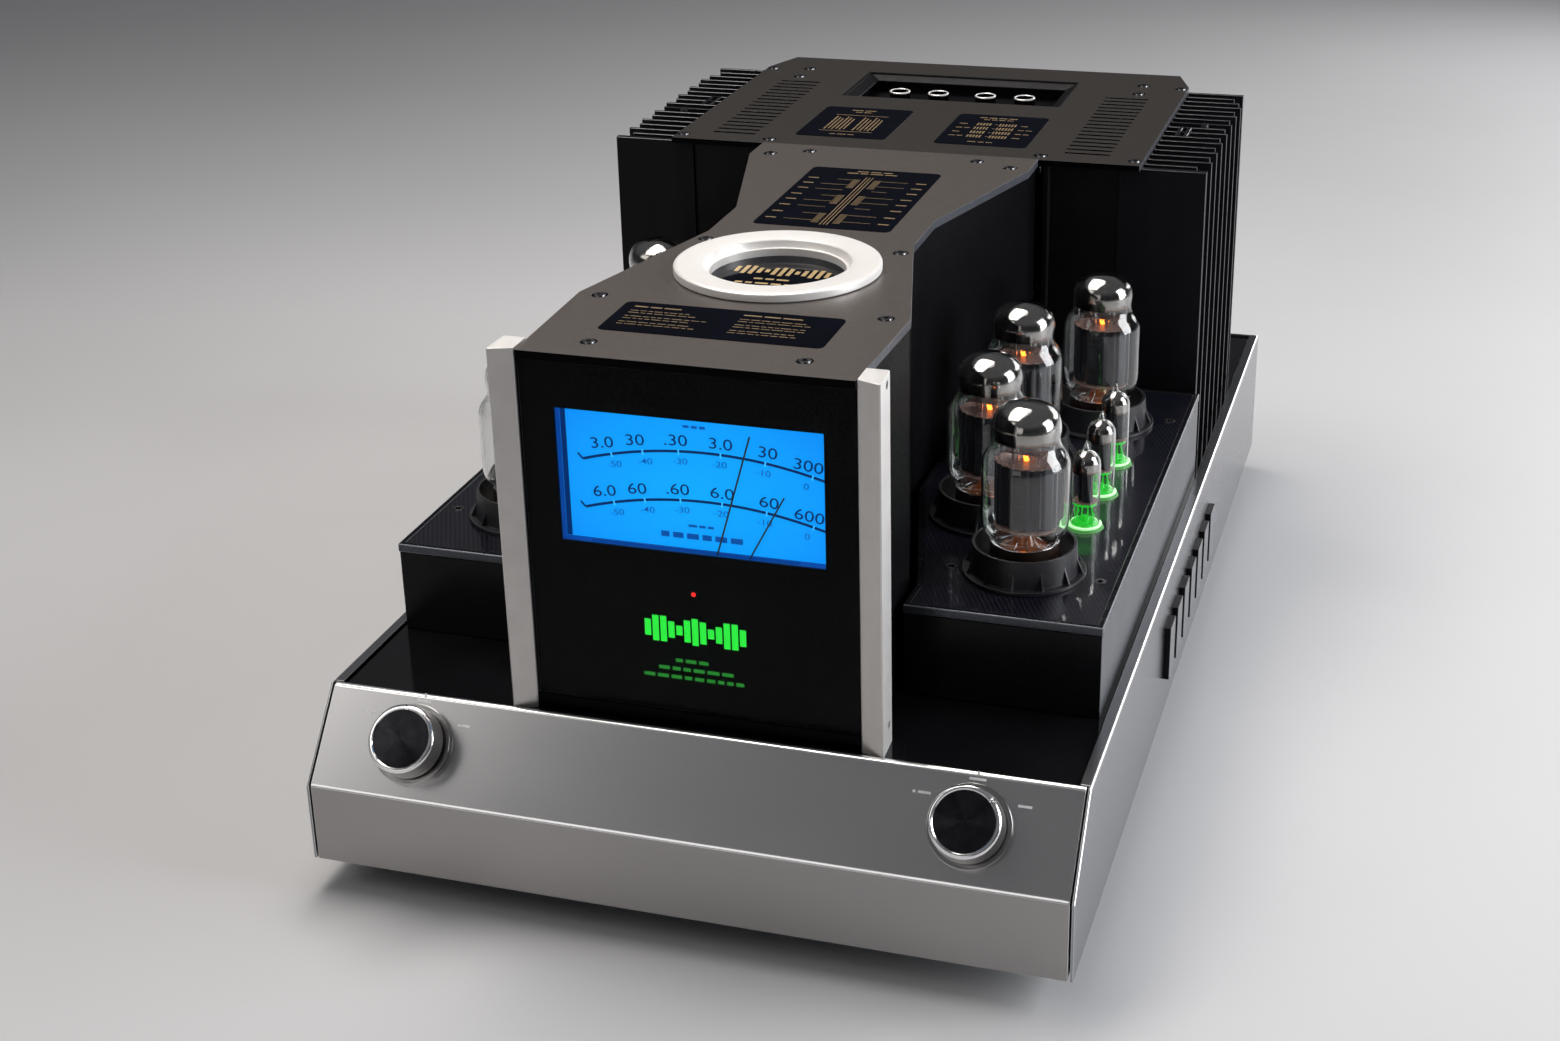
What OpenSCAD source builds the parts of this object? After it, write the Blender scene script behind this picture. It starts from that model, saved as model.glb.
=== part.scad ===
// Valve and solid-state power amplifier: a low wedge-fronted base, a waisted centre tower with a
// meter, two valve decks, and a rear block with side heatsinks. Millimetres, front towards -Y.

/* [Base] */
// Width over the side panels
body_w = 445; // [438:1:460]
// Depth from the fascia to the rear wall
body_d = 762; // [755:1:790]
// Height of the upright part of the fascia
lip_h = 48.5; // [44:0.5:52]
// Height of the base without the feet
base_h = 94.5; // [92:0.5:98]
// Run of the slanted part of the fascia
slant_d = 39; // [36:0.5:42]
// Height of the feet
foot_h = 20; // [12:1:30]
// Radius of a foot
foot_r = 24; // [16:1:30]
// Sheet thickness of the fascia
fascia_t = 2.4; // [2:0.1:3]
// Thickness of a side panel
side_t = 1.6; // [1.2:0.1:2.5]

/* [Tower] */
// Height of the tower's top surface above the base's underside
tower_z = 308.5; // [304:0.5:316]
// Width of the tower at its shoulders
tower_w = 195; // [192:1:198]
// Width of the tower at its waist
waist_w = 130; // [126:1:136]
// Distance of the tower's front edge from the fascia
tower_y = 46.5; // [45:0.5:50]
// Thickness of the tower's top plate
plate_t = 5; // [4:0.5:5.5]
// Outer radius of the ring on the tower
ring_r = 61; // [57:0.5:63]
// Radius of the ring's opening
ring_hole_r = 43; // [40:0.5:45]

/* [Rear block] */
// Distance of the rear block's front wall from the fascia
block_y = 484; // [482:1:490]
// Width of the rear top plate
block_w = 332; // [328:1:336]
// Reach of the fins from the centre plane
fin_reach = 210; // [200:1:213]
// Number of fins on each side
fin_count = 18; // [12:1:20]
// Thickness of a fin
fin_t = 2.6; // [2:0.1:3.2]
// Number of vent slots on each side
slot_count = 17; // [9:1:18]

/* [Valve decks] */
// Height of the deck's top surface above the base's underside
deck_z = 149.3; // [144:0.5:154]
// Radius of a power valve's widest glass
valve_r = 25.5; // [23:0.5:26]
// Height of a power valve's tip above the deck
valve_h = 104; // [100:1:110]
// Radius of a collar's flange
collar_r = 35.8; // [33:0.1:36]
// Radius of a small valve's glass
small_r = 9; // [8:0.5:10]

/* [Controls] */
// Distance of the two large knobs from the centre plane
knob_x = 162; // [150:1:168]
// Radius of a large knob's face
knob_r = 19.6; // [17:0.1:21]
// Height of a large knob above the fascia
knob_h = 20; // [16:0.5:24]
// Angle of the long needle at rest, clockwise from upright
needle_long_rest = 16; // [-20:1:28]
// Angle of the short needle at rest, clockwise from upright
needle_short_rest = 28; // [-25:1:35]

/* [Part selection] */
// Sub-part to draw, or all of them

/* [Hidden] */
$fn = 64;

eps = 0.01;
gap = 0.2;
half_w = body_w / 2;
badge_t = 4;
badge_h = 36;
badge_z = 28;
badge_y = 291;
badge_pitch = 30;
badge_count = 7;
slant_a = atan2(base_h - lip_h, slant_d);
slant_l = norm([slant_d, base_h - lip_h]);
knob_s = slant_l * 0.52;
// How far the large knobs reach in front of the fascia
knob_reach = knob_h * sin(slant_a) + knob_r * cos(slant_a) - knob_s * cos(slant_a);
mid_y = (body_d - knob_reach) / 2;

shelf_t = 2;
lid_t = 2.2;
plate_z = tower_z - plate_t;
rear_z = tower_z - 0.6;
rear_t = 4;

// Right half of the tower's outline, front to back, as [x, y]
half_tower = [[tower_w / 2 - 3.3, tower_y], [tower_w / 2, 144], [waist_w / 2, 273],
    [waist_w / 2, 325], [tower_w / 2, 449], [tower_w / 2, block_y - 5]];

deck_front = 116;
deck_back = block_y - 3;
deck_out = 213;
deck_rim = 5.3;
deck_rim_w = 4;
deck_gap = 3;

// Valve positions on the right deck, as [x, y]; the left deck mirrors them
valve_at = [[155.5, 178], [118, 249], [118, 344], [155.5, 415]];
small_at = [[177.5, 247], [177.5, 297], [177.5, 347]];
insert_at = [[114, 172], [200.5, 174], [114, 427], [200.5, 427]];
insert_r = 2.8;
valve_base_z = deck_z + 1;

window_w = 151;
window_z0 = 198;
window_z1 = 276;
glass_y = tower_y + 1;
glass_t = 3;
mask_y = glass_y + glass_t + gap;
mask_t = 1.5;
scale_y = 58.2;
rail_h = 8;
lamp_z = 174;
lamp_r = 1.2;
cap_in = tower_w / 2 - 2.5;
glass_half = cap_in - 0.25;
pivot_x = -8;
pivot_z = 123;
needle_long_l = 151.5;
needle_short_l = 126.8;
emblem_z = 151;

ring_y = 210;
ring_top = tower_z + 5.5;
well_r = 40;
well_z = tower_z - 7;

recess_w = 166;
recess_y0 = 624;
recess_y1 = 702;
recess_floor = rear_z - 14;
trim_x = [-48.5, -18.3, 18.3, 48.5];
trim_y = 664;
trim_r = 8;
trim_h = 9.4;

block_back = 739;
block_side_y = 703;
fin_pitch = (block_side_y - block_y - fin_t) / (fin_count - 1);
fin_top = tower_z - 4;
fin_root = fin_top - 1.5;
web_x = 179;
web_w = 3;
spine_x = block_w / 2 - 6;
panel_x = spine_x - 8;
panel_y = block_back - 3;

cap_hole_r = 2.4;
cap_hole_depth = 5;

// Where the feet stand, as [x, y]
foot_at = [for (x = [-170, 170], y = [70, body_d - 60]) [x, y]];

// Screws of the top plates on the right half, as [x, y]
tower_screws = [[60.5, 68], [84, 142], [61.3, 257], [84, 453], [59, 464]];
rear_screws = [[161, 491], [97, 490.5], [161, 698], [132, 702], [132.5, 676]];

// Glass plates let into the top plates, as [x0, y0, x1, y1]
glass_corner = 4;
tower_glasses = [[-64, 87.5, 64, 135], [-44, 294, 44, 426.5]];
rear_glasses = [[-83, 506, -17.5, 589], [17.5, 506, 83, 589]];

// Vent slots of the rear plate
slot_x = 126.5;
slot_l = 32;
slot_w = 3.4;
slot_y0 = 501.5;
slot_y1 = 659.5;
slot_pitch = (slot_y1 - slot_y0) / (slot_count - 1);

// Bars of the lit emblem as [x, half height]
emblem_bars = [for (i = [-6:6]) [i * 4.6, 1.8 + 6.4 * abs(cos(i * 40))]];

// Right half of the rear plate's outline
half_rear = [[block_w / 2, block_y - 4.6], [block_w / 2, block_side_y],
    [block_w / 2 - 12, block_back]];

// Speaker posts and signal jacks on the rear panel, as [x, z]
post_at = [for (i = [0:7]) [-105 + i * 30, 128]];
jack_at = [[-110, 200], [-70, 200], [-110, 240], [-70, 240]];

// Outside of a power valve's glass as [radius, height above the base]
glass_outer = [[18.2, 12.2], [18.2, 19.2], [19.8, 20.6], [22.6, 22.6], [24.7, 26.5], [valve_r, 33],
    [valve_r, 64], [valve_r - 0.8, 69], [valve_r - 3, 73], [valve_r - 5.3, 76],
    [valve_r - 6.4, 79.5], [valve_r - 6.1, 83], [valve_r - 5.6, 87], [valve_r - 6.1, 91.5],
    [valve_r - 8, 96], [valve_r - 11.8, 99.8], [valve_r - 17, 102.2], [0, valve_h - 1]];

// Outside of a small valve's glass as [radius, height above its foot]
small_outer = [[small_r, 0], [small_r, 39], [small_r - 0.8, 42.5], [small_r - 2.6, 45.4],
    [small_r - 5.4, 47], [small_r - 7.4, 47.9], [small_r - 7.8, 51], [0, 54]];

// Rests the model on the floor and centres it on the origin
module place() {
    translate([0, -mid_y, foot_h]) children();
}

// Draws its children on the right and mirrored on the left
module both_sides() {
    for (m = [0, 1])
        mirror([m, 0, 0]) children();
}

// Whole outline from its right half
function whole(p) = concat(p, [for (i = [len(p) - 1:-1:0]) [-p[i][0], p[i][1]]]);

// Right half of the tower's outline moved inwards by d
function inward(p, d) = [for (q = p) [q[0] - d, q[1]]];

// Local frame on the slanted fascia: z leaves the metal, y climbs the slope
module on_slant(x) {
    translate([x, knob_s * cos(slant_a), lip_h + knob_s * sin(slant_a)])
        rotate([slant_a, 0, 0]) children();
}

// Box given by its two corners
module span(a, b) {
    translate(a) cube(b - a);
}

// Flat plate with rounded corners, from corner a to corner b in the XY plane
module round_plate(a, b, r) {
    span([a[0] + r, a[1], a[2]], [b[0] - r, b[1], b[2]]);
    span([a[0], a[1] + r, a[2]], [b[0], b[1] - r, b[2]]);
    for (x = [a[0] + r, b[0] - r], y = [a[1] + r, b[1] - r])
        translate([x, y, a[2]]) cylinder(r = r, h = b[2] - a[2]);
}

// Tube between two radii standing on z = 0
module pipe(r_out, r_in, h) {
    difference() {
        cylinder(r = r_out, h = h);
        translate([0, 0, -eps]) cylinder(r = r_in, h = h + 2 * eps);
    }
}

// ---- Base ----

module base_pan() {
    color([0.05, 0.05, 0.055]) place() difference() {
        union() {
            span([-half_w + side_t + 2, 16, 0], [half_w - side_t - 2, body_d - 2, shelf_t]);
            span([-half_w + side_t + gap, body_d - 2, 0], [half_w - side_t - gap, body_d, base_h]);
            for (x = [-half_w + side_t + 2, half_w - side_t - 4])
                span([x, 60, 0], [x + 2, body_d - 2, base_h - 6.5]);
        }
        for (i = [0:11], s = [-1, 1])
            span([s * 75 - 40, 180 + i * 12, -1], [s * 75 + 40, 184 + i * 12, shelf_t + 1]);
    }
}

module fascia_profile(w, x0) {
    c = cos(slant_a);
    s = sin(slant_a);
    t = fascia_t;
    k = t * tan((90 - slant_a) / 2);
    translate([x0, 0, 0]) rotate([90, 0, 90]) linear_extrude(w)
        polygon([[0, 0], [0, lip_h], [slant_d, base_h], [slant_d + t, base_h],
            [slant_d + t, base_h - t], [slant_d + t * (1 - c) / s, base_h - t], [t, lip_h - k],
            [t, t], [14, t], [14, 0]]);
}

module fascia() {
    reach = half_w - side_t - 1.2;
    color([0.62, 0.61, 0.6]) place() difference() {
        fascia_profile(2 * reach, -reach);
        for (x = [-knob_x, knob_x])
            on_slant(x) translate([0, 0, -8]) cylinder(r = 5, h = 16);
    }
}

module side_panels() {
    color([0.62, 0.61, 0.6]) place() both_sides() {
        translate([half_w - side_t, 0, 0]) rotate([90, 0, 90]) linear_extrude(side_t)
            polygon([[0, 0], [0, lip_h], [slant_d, base_h], [body_d, base_h], [body_d, 0]]);
        span([half_w - side_t - 5, slant_d + 3.4, base_h - 1.4], [half_w - side_t, body_d - 3, base_h]);
    }
}

module base_lid() {
    top = base_h - 1.8;
    in_x = half_w - side_t - 5.6;
    color([0.015, 0.015, 0.02]) place() difference() {
        span([-in_x, slant_d + fascia_t + gap, top - lid_t], [in_x, body_d - 3, top]);
        for (x = [-150, 150], y = [150, 296, 440])
            translate([x, y, top - lid_t - 1]) cylinder(r = 22, h = lid_t + 2);
        for (y = [235, 560, 660])
            translate([0, y, top - lid_t - 1]) cylinder(r = 18, h = lid_t + 2);
    }
}

module feet() {
    color([0.03, 0.03, 0.03]) place() for (p = foot_at)
        translate([p[0], p[1], -foot_h]) {
            cylinder(r1 = foot_r - 2, r2 = foot_r, h = 4);
            translate([0, 0, 4]) cylinder(r = foot_r, h = foot_h - 4);
        }
}

module side_badges() {
    color([0.04, 0.04, 0.045]) place() both_sides() for (i = [0:badge_count - 1])
        translate([half_w, badge_y + i * badge_pitch, badge_z])
            cube([badge_t, badge_pitch * 0.66, badge_h]);
}

// ---- Valve decks ----

// Right deck's outline reduced by d, following the tower's wall on the inner side
module deck_area(d) {
    inner = inward(half_tower, -deck_gap - d);
    front_x = inner[0][0] + (inner[1][0] - inner[0][0]) * (deck_front - tower_y) / (144 - tower_y);
    polygon(concat([[deck_out - d, deck_back - d], [deck_out - d, deck_front + d],
        [front_x, deck_front + d]], [for (i = [1:4]) inner[i]], [[inner[5][0], deck_back - d]]));
}

module deck_bodies() {
    top = deck_z - deck_rim - gap;
    low = base_h - 1.6;
    color([0.02, 0.02, 0.025]) place() both_sides() difference() {
        translate([0, 0, low]) linear_extrude(top - low) deck_area(0.5);
        translate([0, 0, low - 1]) linear_extrude(top - low + 2) deck_area(2);
    }
}

module deck_trims() {
    color([0.33, 0.36, 0.4]) place() both_sides() difference() {
        translate([0, 0, deck_z - deck_rim]) linear_extrude(deck_rim) deck_area(0);
        translate([0, 0, deck_z - deck_rim - 1]) linear_extrude(deck_rim + 2)
            deck_area(deck_rim_w);
    }
}

module deck_plates() {
    color([0.03, 0.035, 0.06]) place() both_sides() difference() {
        translate([0, 0, deck_z - 3]) linear_extrude(2.6) deck_area(deck_rim_w + 0.1);
        for (p = valve_at)
            translate([p[0], p[1], deck_z - 4]) cylinder(r = 27, h = 5);
        for (p = small_at)
            translate([p[0], p[1], deck_z - 4]) cylinder(r = small_r + 3, h = 5);
        for (p = insert_at)
            translate([p[0], p[1], deck_z - 4]) cylinder(r = insert_r + 0.1, h = 5);
    }
}

module at_valves() {
    both_sides() for (p = valve_at)
        translate([p[0], p[1], 0]) children();
}

module at_small() {
    both_sides() for (p = small_at)
        translate([p[0], p[1], 0]) children();
}

module collar() {
    h = 18.5;
    rotate_extrude() polygon([[28.6, 0], [collar_r, 0], [collar_r, 2.2], [31.4, 2.2], [30.2, h],
        [28.4, h], [29, 3]]);
    for (a = [0:30:330])
        rotate([0, 0, a]) translate([0, 0.6, 0]) rotate([90, 0, 0]) linear_extrude(1.2)
            polygon([[30.9, 2], [collar_r - 1, 2], [30.6, 11]]);
}

module tube_collars() {
    color([0.05, 0.05, 0.055]) place() at_valves() translate([0, 0, deck_z - 0.3]) collar();
}

module tube_sockets() {
    color([0.85, 0.83, 0.78]) place() at_valves() difference() {
        union() {
            translate([0, 0, valve_base_z - 16]) cylinder(r = 24, h = 12.2);
            translate([0, 0, valve_base_z - 4.4]) cylinder(r = 26.5, h = 3.8);
        }
        translate([0, 0, valve_base_z - 12]) cylinder(r = 4.4, h = 14);
        for (a = [0:45:315])
            rotate([0, 0, a + 22.5]) translate([8.7, 0, valve_base_z - 12])
                cylinder(r = 1.5, h = 14);
    }
}

module tube_bases() {
    color([0.1, 0.07, 0.055]) place() at_valves() translate([0, 0, valve_base_z]) {
        cylinder(r = 20, h = 12);
        translate([0, 0, 12]) pipe(20, 18.4, 7);
        translate([0, 0, -11]) cylinder(r = 4, h = 12);
        for (a = [0:45:315])
            rotate([0, 0, a + 22.5]) translate([8.7, 0, -10]) cylinder(r = 1.2, h = 11);
    }
}

module tube_glass() {
    inner = [for (q = glass_outer) [max(0, q[0] - 1), q[1] - (q[1] > 90 ? 1.2 : 0)]];
    color([0.85, 0.88, 0.9, 0.35]) place() at_valves() translate([0, 0, valve_base_z + 0.2])
        rotate_extrude() polygon(concat(glass_outer,
            [for (i = [len(inner) - 1:-1:0]) inner[i]]));
}

module tube_anodes() {
    color([0.2, 0.21, 0.23]) place() at_valves()
        translate([0, 0, valve_base_z + 28]) difference() {
            union() {
                for (s = [-1, 1])
                    span([-17.5, s * 4.6 - 4, 0], [17.5, s * 4.6 + 4, 38]);
                span([-11.5, -12, 0], [11.5, 12, 38]);
            }
            translate([0, 0, -1]) cylinder(r = 5, h = 40);
        }
}

module tube_micas() {
    color([0.75, 0.72, 0.66]) place() at_valves() for (z = [26, 66.6])
        translate([0, 0, valve_base_z + z]) difference() {
            cylinder(r = 18.6, h = 0.8);
            translate([0, 0, -1]) cylinder(r = 3.2, h = 3);
        }
}

module tube_getters() {
    color([0.8, 0.8, 0.8]) place() {
        at_valves() translate([0, 0, valve_base_z]) {
            translate([0, 0, 88]) pipe(17.6, 16.6, 3.5);
            translate([0, 0, 88]) for (a = [0, 180])
                rotate([0, 0, a]) translate([16.2, 0, -20.4]) cylinder(r = 0.6, h = 21);
        }
        at_small() translate([0, 0, deck_z + 41]) pipe(5, 4.2, 1.5);
    }
}

module tube_heaters() {
    color([1, 0.45, 0.12]) place() at_valves() translate([0, 0, valve_base_z + 12.1])
        cylinder(r = 2.6, h = 62);
}

module small_glass() {
    inner = [for (q = small_outer) [max(0, q[0] - 0.8), q[1] - (q[1] > 40 ? 0.9 : 0)]];
    color([0.85, 0.88, 0.9, 0.35]) place() at_small() translate([0, 0, deck_z + 1.2])
        rotate_extrude() polygon(concat(small_outer,
            [for (i = [len(inner) - 1:-1:0]) inner[i]]));
}

module small_anodes() {
    color([0.24, 0.25, 0.27]) place() at_small() translate([0, 0, deck_z + 3]) {
        for (s = [-1, 1])
            translate([s * 3.1, 0, 11]) cylinder(r = 2.9, h = 22);
        translate([0, 0, 33]) cylinder(r = 7.4, h = 0.6);
        translate([0, 0, 10.4]) cylinder(r = 7.4, h = 0.6);
        for (a = [0:60:300])
            rotate([0, 0, a]) translate([5.4, 0, -2]) cylinder(r = 0.5, h = 12.5);
    }
}

module small_sockets() {
    color([0.88, 0.9, 0.86]) place() at_small() translate([0, 0, deck_z - 12]) {
        cylinder(r = small_r + 2, h = 13);
        translate([0, 0, 8.6]) cylinder(r = small_r + 2.8, h = 2.8);
    }
}

// Threaded inserts that take the screws of a cage over the valves
module cage_inserts() {
    color([0.45, 0.45, 0.46]) place() both_sides() for (p = insert_at)
        translate([p[0], p[1], deck_z - 6]) difference() {
            union() {
                cylinder(r = insert_r, h = 5.8);
                translate([0, 0, 5.6]) cylinder(r = insert_r + 0.8, h = 0.4);
            }
            translate([0, 0, -1]) cylinder(r = insert_r - 1.1, h = 8);
        }
}

// ---- Tower ----

module tower_walls() {
    low = base_h - 1.6;
    wall = concat([[half_tower[0][0] + 0.3, tower_y + 8]], [for (i = [1:5]) half_tower[i]]);
    color([0.07, 0.07, 0.075]) place() both_sides() translate([0, 0, low])
        linear_extrude(plate_z - gap - low)
            polygon(concat(inward(wall, 1.5), [for (i = [5:-1:0]) inward(wall, 3.5)[i]]));
}

module tower_plate() {
    color([0.42, 0.4, 0.385]) place() difference() {
        translate([0, 0, plate_z]) linear_extrude(plate_t) polygon(whole(half_tower));
        translate([0, ring_y, plate_z - 1]) cylinder(r = well_r + 2.4, h = plate_t + 2);
        for (p = tower_screws, s = [-1, 1])
            translate([s * p[0], p[1], plate_z - 1]) {
                cylinder(r = 2.2, h = plate_t + 2);
                translate([0, 0, plate_t - 1.2]) cylinder(r = 4.8, h = 3);
            }
        for (p = tower_glasses)
            round_plate([p[0] - gap, p[1] - gap, tower_z - 1], [p[2] + gap, p[3] + gap, tower_z + 1],
                glass_corner);
    }
}

module end_caps() {
    color([0.82, 0.81, 0.79]) place() both_sides() difference() {
        translate([0, 0, base_h - 1.6]) linear_extrude(tower_z + 1 - base_h + 1.6)
            polygon([[cap_in, 46.8], [cap_in + 1.2, 45.8], [107.6, 41.6], [108.6, 42.2],
                [107.8, 62.6], [106.8, 63.4], [cap_in, 63.4]]);
        for (z = [base_h + 12, tower_z - 4.5])
            translate([108.6 - cap_hole_depth, 56, z]) rotate([0, 90, 0])
                cylinder(r = cap_hole_r, h = cap_hole_depth + 2);
    }
}

module front_glass() {
    color([0.02, 0.02, 0.03, 0.35]) place()
        span([-glass_half, glass_y, base_h + rail_h], [glass_half, glass_y + glass_t, plate_z - gap]);
}

module front_mask() {
    low = base_h - 1.6;
    color([0.01, 0.01, 0.012]) place() difference() {
        union() {
            span([-glass_half, mask_y, low], [glass_half, mask_y + mask_t, plate_z - gap]);
            span([-glass_half, tower_y, low], [glass_half, mask_y + eps, base_h + rail_h - gap]);
        }
        span([-window_w / 2, mask_y - 1, window_z0], [window_w / 2, mask_y + 3, window_z1]);
        translate([0, mask_y - 1, lamp_z]) rotate([-90, 0, 0]) cylinder(r = lamp_r + 0.1, h = 4);
        for (i = emblem_bars)
            span([i[0] - 1.9, mask_y - 1, emblem_z - i[1] - 0.1],
                [i[0] + 1.9, mask_y + 3, emblem_z + i[1] + 0.1]);
    }
}

module emblem_light() {
    color([0.1, 0.9, 0.25]) place() {
        for (i = emblem_bars)
            span([i[0] - 1.8, mask_y + 0.1, emblem_z - i[1]],
                [i[0] + 1.8, mask_y + mask_t + 0.3, emblem_z + i[1]]);
        span([-32, mask_y + mask_t + 0.2, emblem_z - 10], [32, mask_y + mask_t + 0.9, emblem_z + 10]);
    }
}

module standby_lamp() {
    color([0.9, 0.05, 0.02]) place() translate([0, mask_y + 0.1, lamp_z])
        rotate([-90, 0, 0]) {
            cylinder(r = lamp_r, h = mask_t + 0.7);
            translate([0, 0, mask_t + 0.1]) cylinder(r = 2.4, h = 0.7);
        }
}

module meter_frame() {
    y0 = mask_y + mask_t + gap;
    color([0.02, 0.05, 0.16]) place() difference() {
        span([-window_w / 2 - 6, y0, window_z0 - 6], [window_w / 2 + 6, scale_y - gap, window_z1 + 5]);
        span([-window_w / 2, y0 - 1, window_z0], [window_w / 2, scale_y + 1, window_z1]);
        span([-60, y0 + 0.7, window_z0 - 7], [60, scale_y - 1.3, window_z0 + 1]);
    }
}

module meter_scale() {
    color([0.1, 0.45, 0.95]) place() {
        span([-window_w / 2 - 5, scale_y, window_z0 - 5], [window_w / 2 + 5, scale_y + 1.5, window_z1 + 4]);
        span([-70, scale_y + 1.4, window_z0 + 2], [70, scale_y + 12, window_z1 - 3]);
    }
}

module meter_movement() {
    color([0.1, 0.1, 0.11]) place() translate([pivot_x, 0, pivot_z]) difference() {
        union() {
            span([-24, 59, -14], [24, 63, 14]);
            span([-24, 63, -14], [-20, 86, 14]);
            span([20, 63, -14], [24, 86, 14]);
            span([-24, 86, -14], [24, 90, 14]);
        }
        translate([0, 50, 0]) rotate([-90, 0, 0]) cylinder(r = 2.06, h = 20);
        translate([0, 80, 0]) rotate([-90, 0, 0]) cylinder(r = 1.06, h = 20);
    }
}

// Needle blade from the pivot upwards, turned clockwise by a
module blade(a, l, y) {
    rotate([0, a, 0]) {
        span([-0.45, y, -14], [0.45, y + 0.6, l]);
        span([-1.6, y, -16], [1.6, y + 0.6, -8]);
    }
}

module needle_long() {
    color([0.02, 0.02, 0.03]) place() translate([pivot_x, 0, pivot_z]) {
        blade(needle_long_rest, needle_long_l, 53.8);
        translate([0, 53.3, 0]) rotate([-90, 0, 0]) cylinder(r = 3.6, h = 1.3);
        translate([0, 53, 0]) rotate([-90, 0, 0]) cylinder(r = 1, h = 36);
        translate([0, 66, 0]) rotate([-90, 0, 0]) cylinder(r = 8, h = 14);
    }
}

module needle_short() {
    color([0.02, 0.02, 0.03]) place() translate([pivot_x, 0, pivot_z]) difference() {
        union() {
            blade(needle_short_rest, needle_short_l, 55.4);
            translate([0, 55.1, 0]) rotate([-90, 0, 0]) cylinder(r = 3.6, h = 1.4);
            translate([0, 55.1, 0]) rotate([-90, 0, 0]) cylinder(r = 2, h = 9.4);
        }
        translate([0, 50, 0]) rotate([-90, 0, 0]) cylinder(r = 1.06, h = 20);
    }
}

module top_ring() {
    color([0.88, 0.86, 0.84]) place() translate([0, ring_y, 0]) rotate_extrude() polygon([
        [ring_r - 0.8, tower_z + 0.05], [ring_r, tower_z + 0.9], [ring_r, ring_top - 1.4],
        [ring_r - 2, ring_top], [ring_hole_r + 0.6, ring_top], [ring_hole_r, ring_top - 0.6],
        [ring_hole_r - 1.4, tower_z], [well_r, tower_z], [well_r, well_z - 1.5],
        [well_r + 2.2, well_z - 1.5], [well_r + 2.2, tower_z + 0.05]]);
}

module ring_window() {
    color([0.02, 0.02, 0.05]) place() translate([0, ring_y, well_z]) {
        cylinder(r = well_r - 0.1, h = 2.5);
    }
}

module info_plates() {
    color([0.02, 0.03, 0.07]) place() {
        for (p = tower_glasses)
            round_plate([p[0], p[1], tower_z - 0.9], [p[2], p[3], tower_z + 0.3], glass_corner);
        for (p = rear_glasses)
            round_plate([p[0], p[1], rear_z - 0.9], [p[2], p[3], rear_z + 0.3], glass_corner);
    }
}

// ---- Rear block ----

module rear_plate() {
    color([0.42, 0.4, 0.385]) place() difference() {
        translate([0, 0, rear_z - rear_t]) linear_extrude(rear_t) polygon(whole(half_rear));
        span([-recess_w / 2, recess_y0, rear_z - 9], [recess_w / 2, recess_y1, rear_z + 1]);
        for (p = rear_screws, s = [-1, 1])
            translate([s * p[0], p[1], rear_z - rear_t - 1]) {
                cylinder(r = 2.2, h = rear_t + 2);
                translate([0, 0, rear_t - 0.2]) cylinder(r = 4.8, h = 3);
            }
        for (i = [0:slot_count - 1], s = [-1, 1])
            translate([s * slot_x, slot_y0 + i * slot_pitch, rear_z - rear_t - 1])
                round_plate([-slot_l / 2, -slot_w / 2, 0], [slot_l / 2, slot_w / 2, rear_t + 2],
                    slot_w / 2 - 0.05);
        for (p = rear_glasses)
            round_plate([p[0] - gap, p[1] - gap, rear_z - 1], [p[2] + gap, p[3] + gap, rear_z + 1],
                glass_corner);
    }
}

module plate_screw(z) {
    difference() {
        union() {
            translate([0, 0, z - 1.15]) cylinder(r1 = 3.9, r2 = 3.4, h = 1.7);
            translate([0, 0, z - 12]) cylinder(r = 2, h = 11);
        }
        translate([0, 0, z - 0.4]) cylinder(r = 1.7, h = 2, $fn = 6);
    }
}

module plate_screws() {
    color([0.12, 0.12, 0.13]) place() for (s = [-1, 1]) {
        for (p = tower_screws)
            translate([s * p[0], p[1], 0]) plate_screw(tower_z);
        for (p = rear_screws)
            translate([s * p[0], p[1], 0]) plate_screw(rear_z);
    }
}

module recess_tray() {
    t = 1.6;
    w = recess_w / 2;
    color([0.02, 0.02, 0.022]) place() difference() {
        translate([-w + gap, 0, 0]) rotate([90, 0, 90]) linear_extrude(recess_w - 2 * gap)
            polygon([[recess_y0 + gap, rear_z - 0.2], [recess_y1 - gap, rear_z - 0.2],
                [recess_y1 - gap, recess_floor - t], [646, recess_floor - t],
                [recess_y0 + gap, rear_z - 3.4]]);
        translate([-w + gap + t, 0, 0]) rotate([90, 0, 90]) linear_extrude(recess_w - 2 * gap - 2 * t)
            polygon([[recess_y0 + 0.6, rear_z], [recess_y1 - gap - t, rear_z],
                [recess_y1 - gap - t, recess_floor], [647.5, recess_floor],
                [recess_y0 + 1.2, rear_z - 1]]);
        for (x = trim_x)
            translate([x, trim_y, recess_floor - 4]) cylinder(r = 3.5, h = 8);
    }
}

module trim_knob(x) {
    place() translate([x, trim_y, recess_floor]) difference() {
        union() {
            translate([0, 0, 0.5]) cylinder(r = trim_r, h = trim_h);
            translate([0, 0, -12]) cylinder(r = 2, h = 13);
        }
        translate([0, 0, trim_h - 1.9]) cylinder(r = trim_r - 1.6, h = 3);
        span([-0.5, trim_r - 2, trim_h - 0.4], [0.5, trim_r + 1, trim_h + 2]);
    }
}

module trim_knob_1() color([0.7, 0.7, 0.7]) trim_knob(trim_x[0]);
module trim_knob_2() color([0.7, 0.7, 0.7]) trim_knob(trim_x[1]);
module trim_knob_3() color([0.7, 0.7, 0.7]) trim_knob(trim_x[2]);
module trim_knob_4() color([0.7, 0.7, 0.7]) trim_knob(trim_x[3]);

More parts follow.
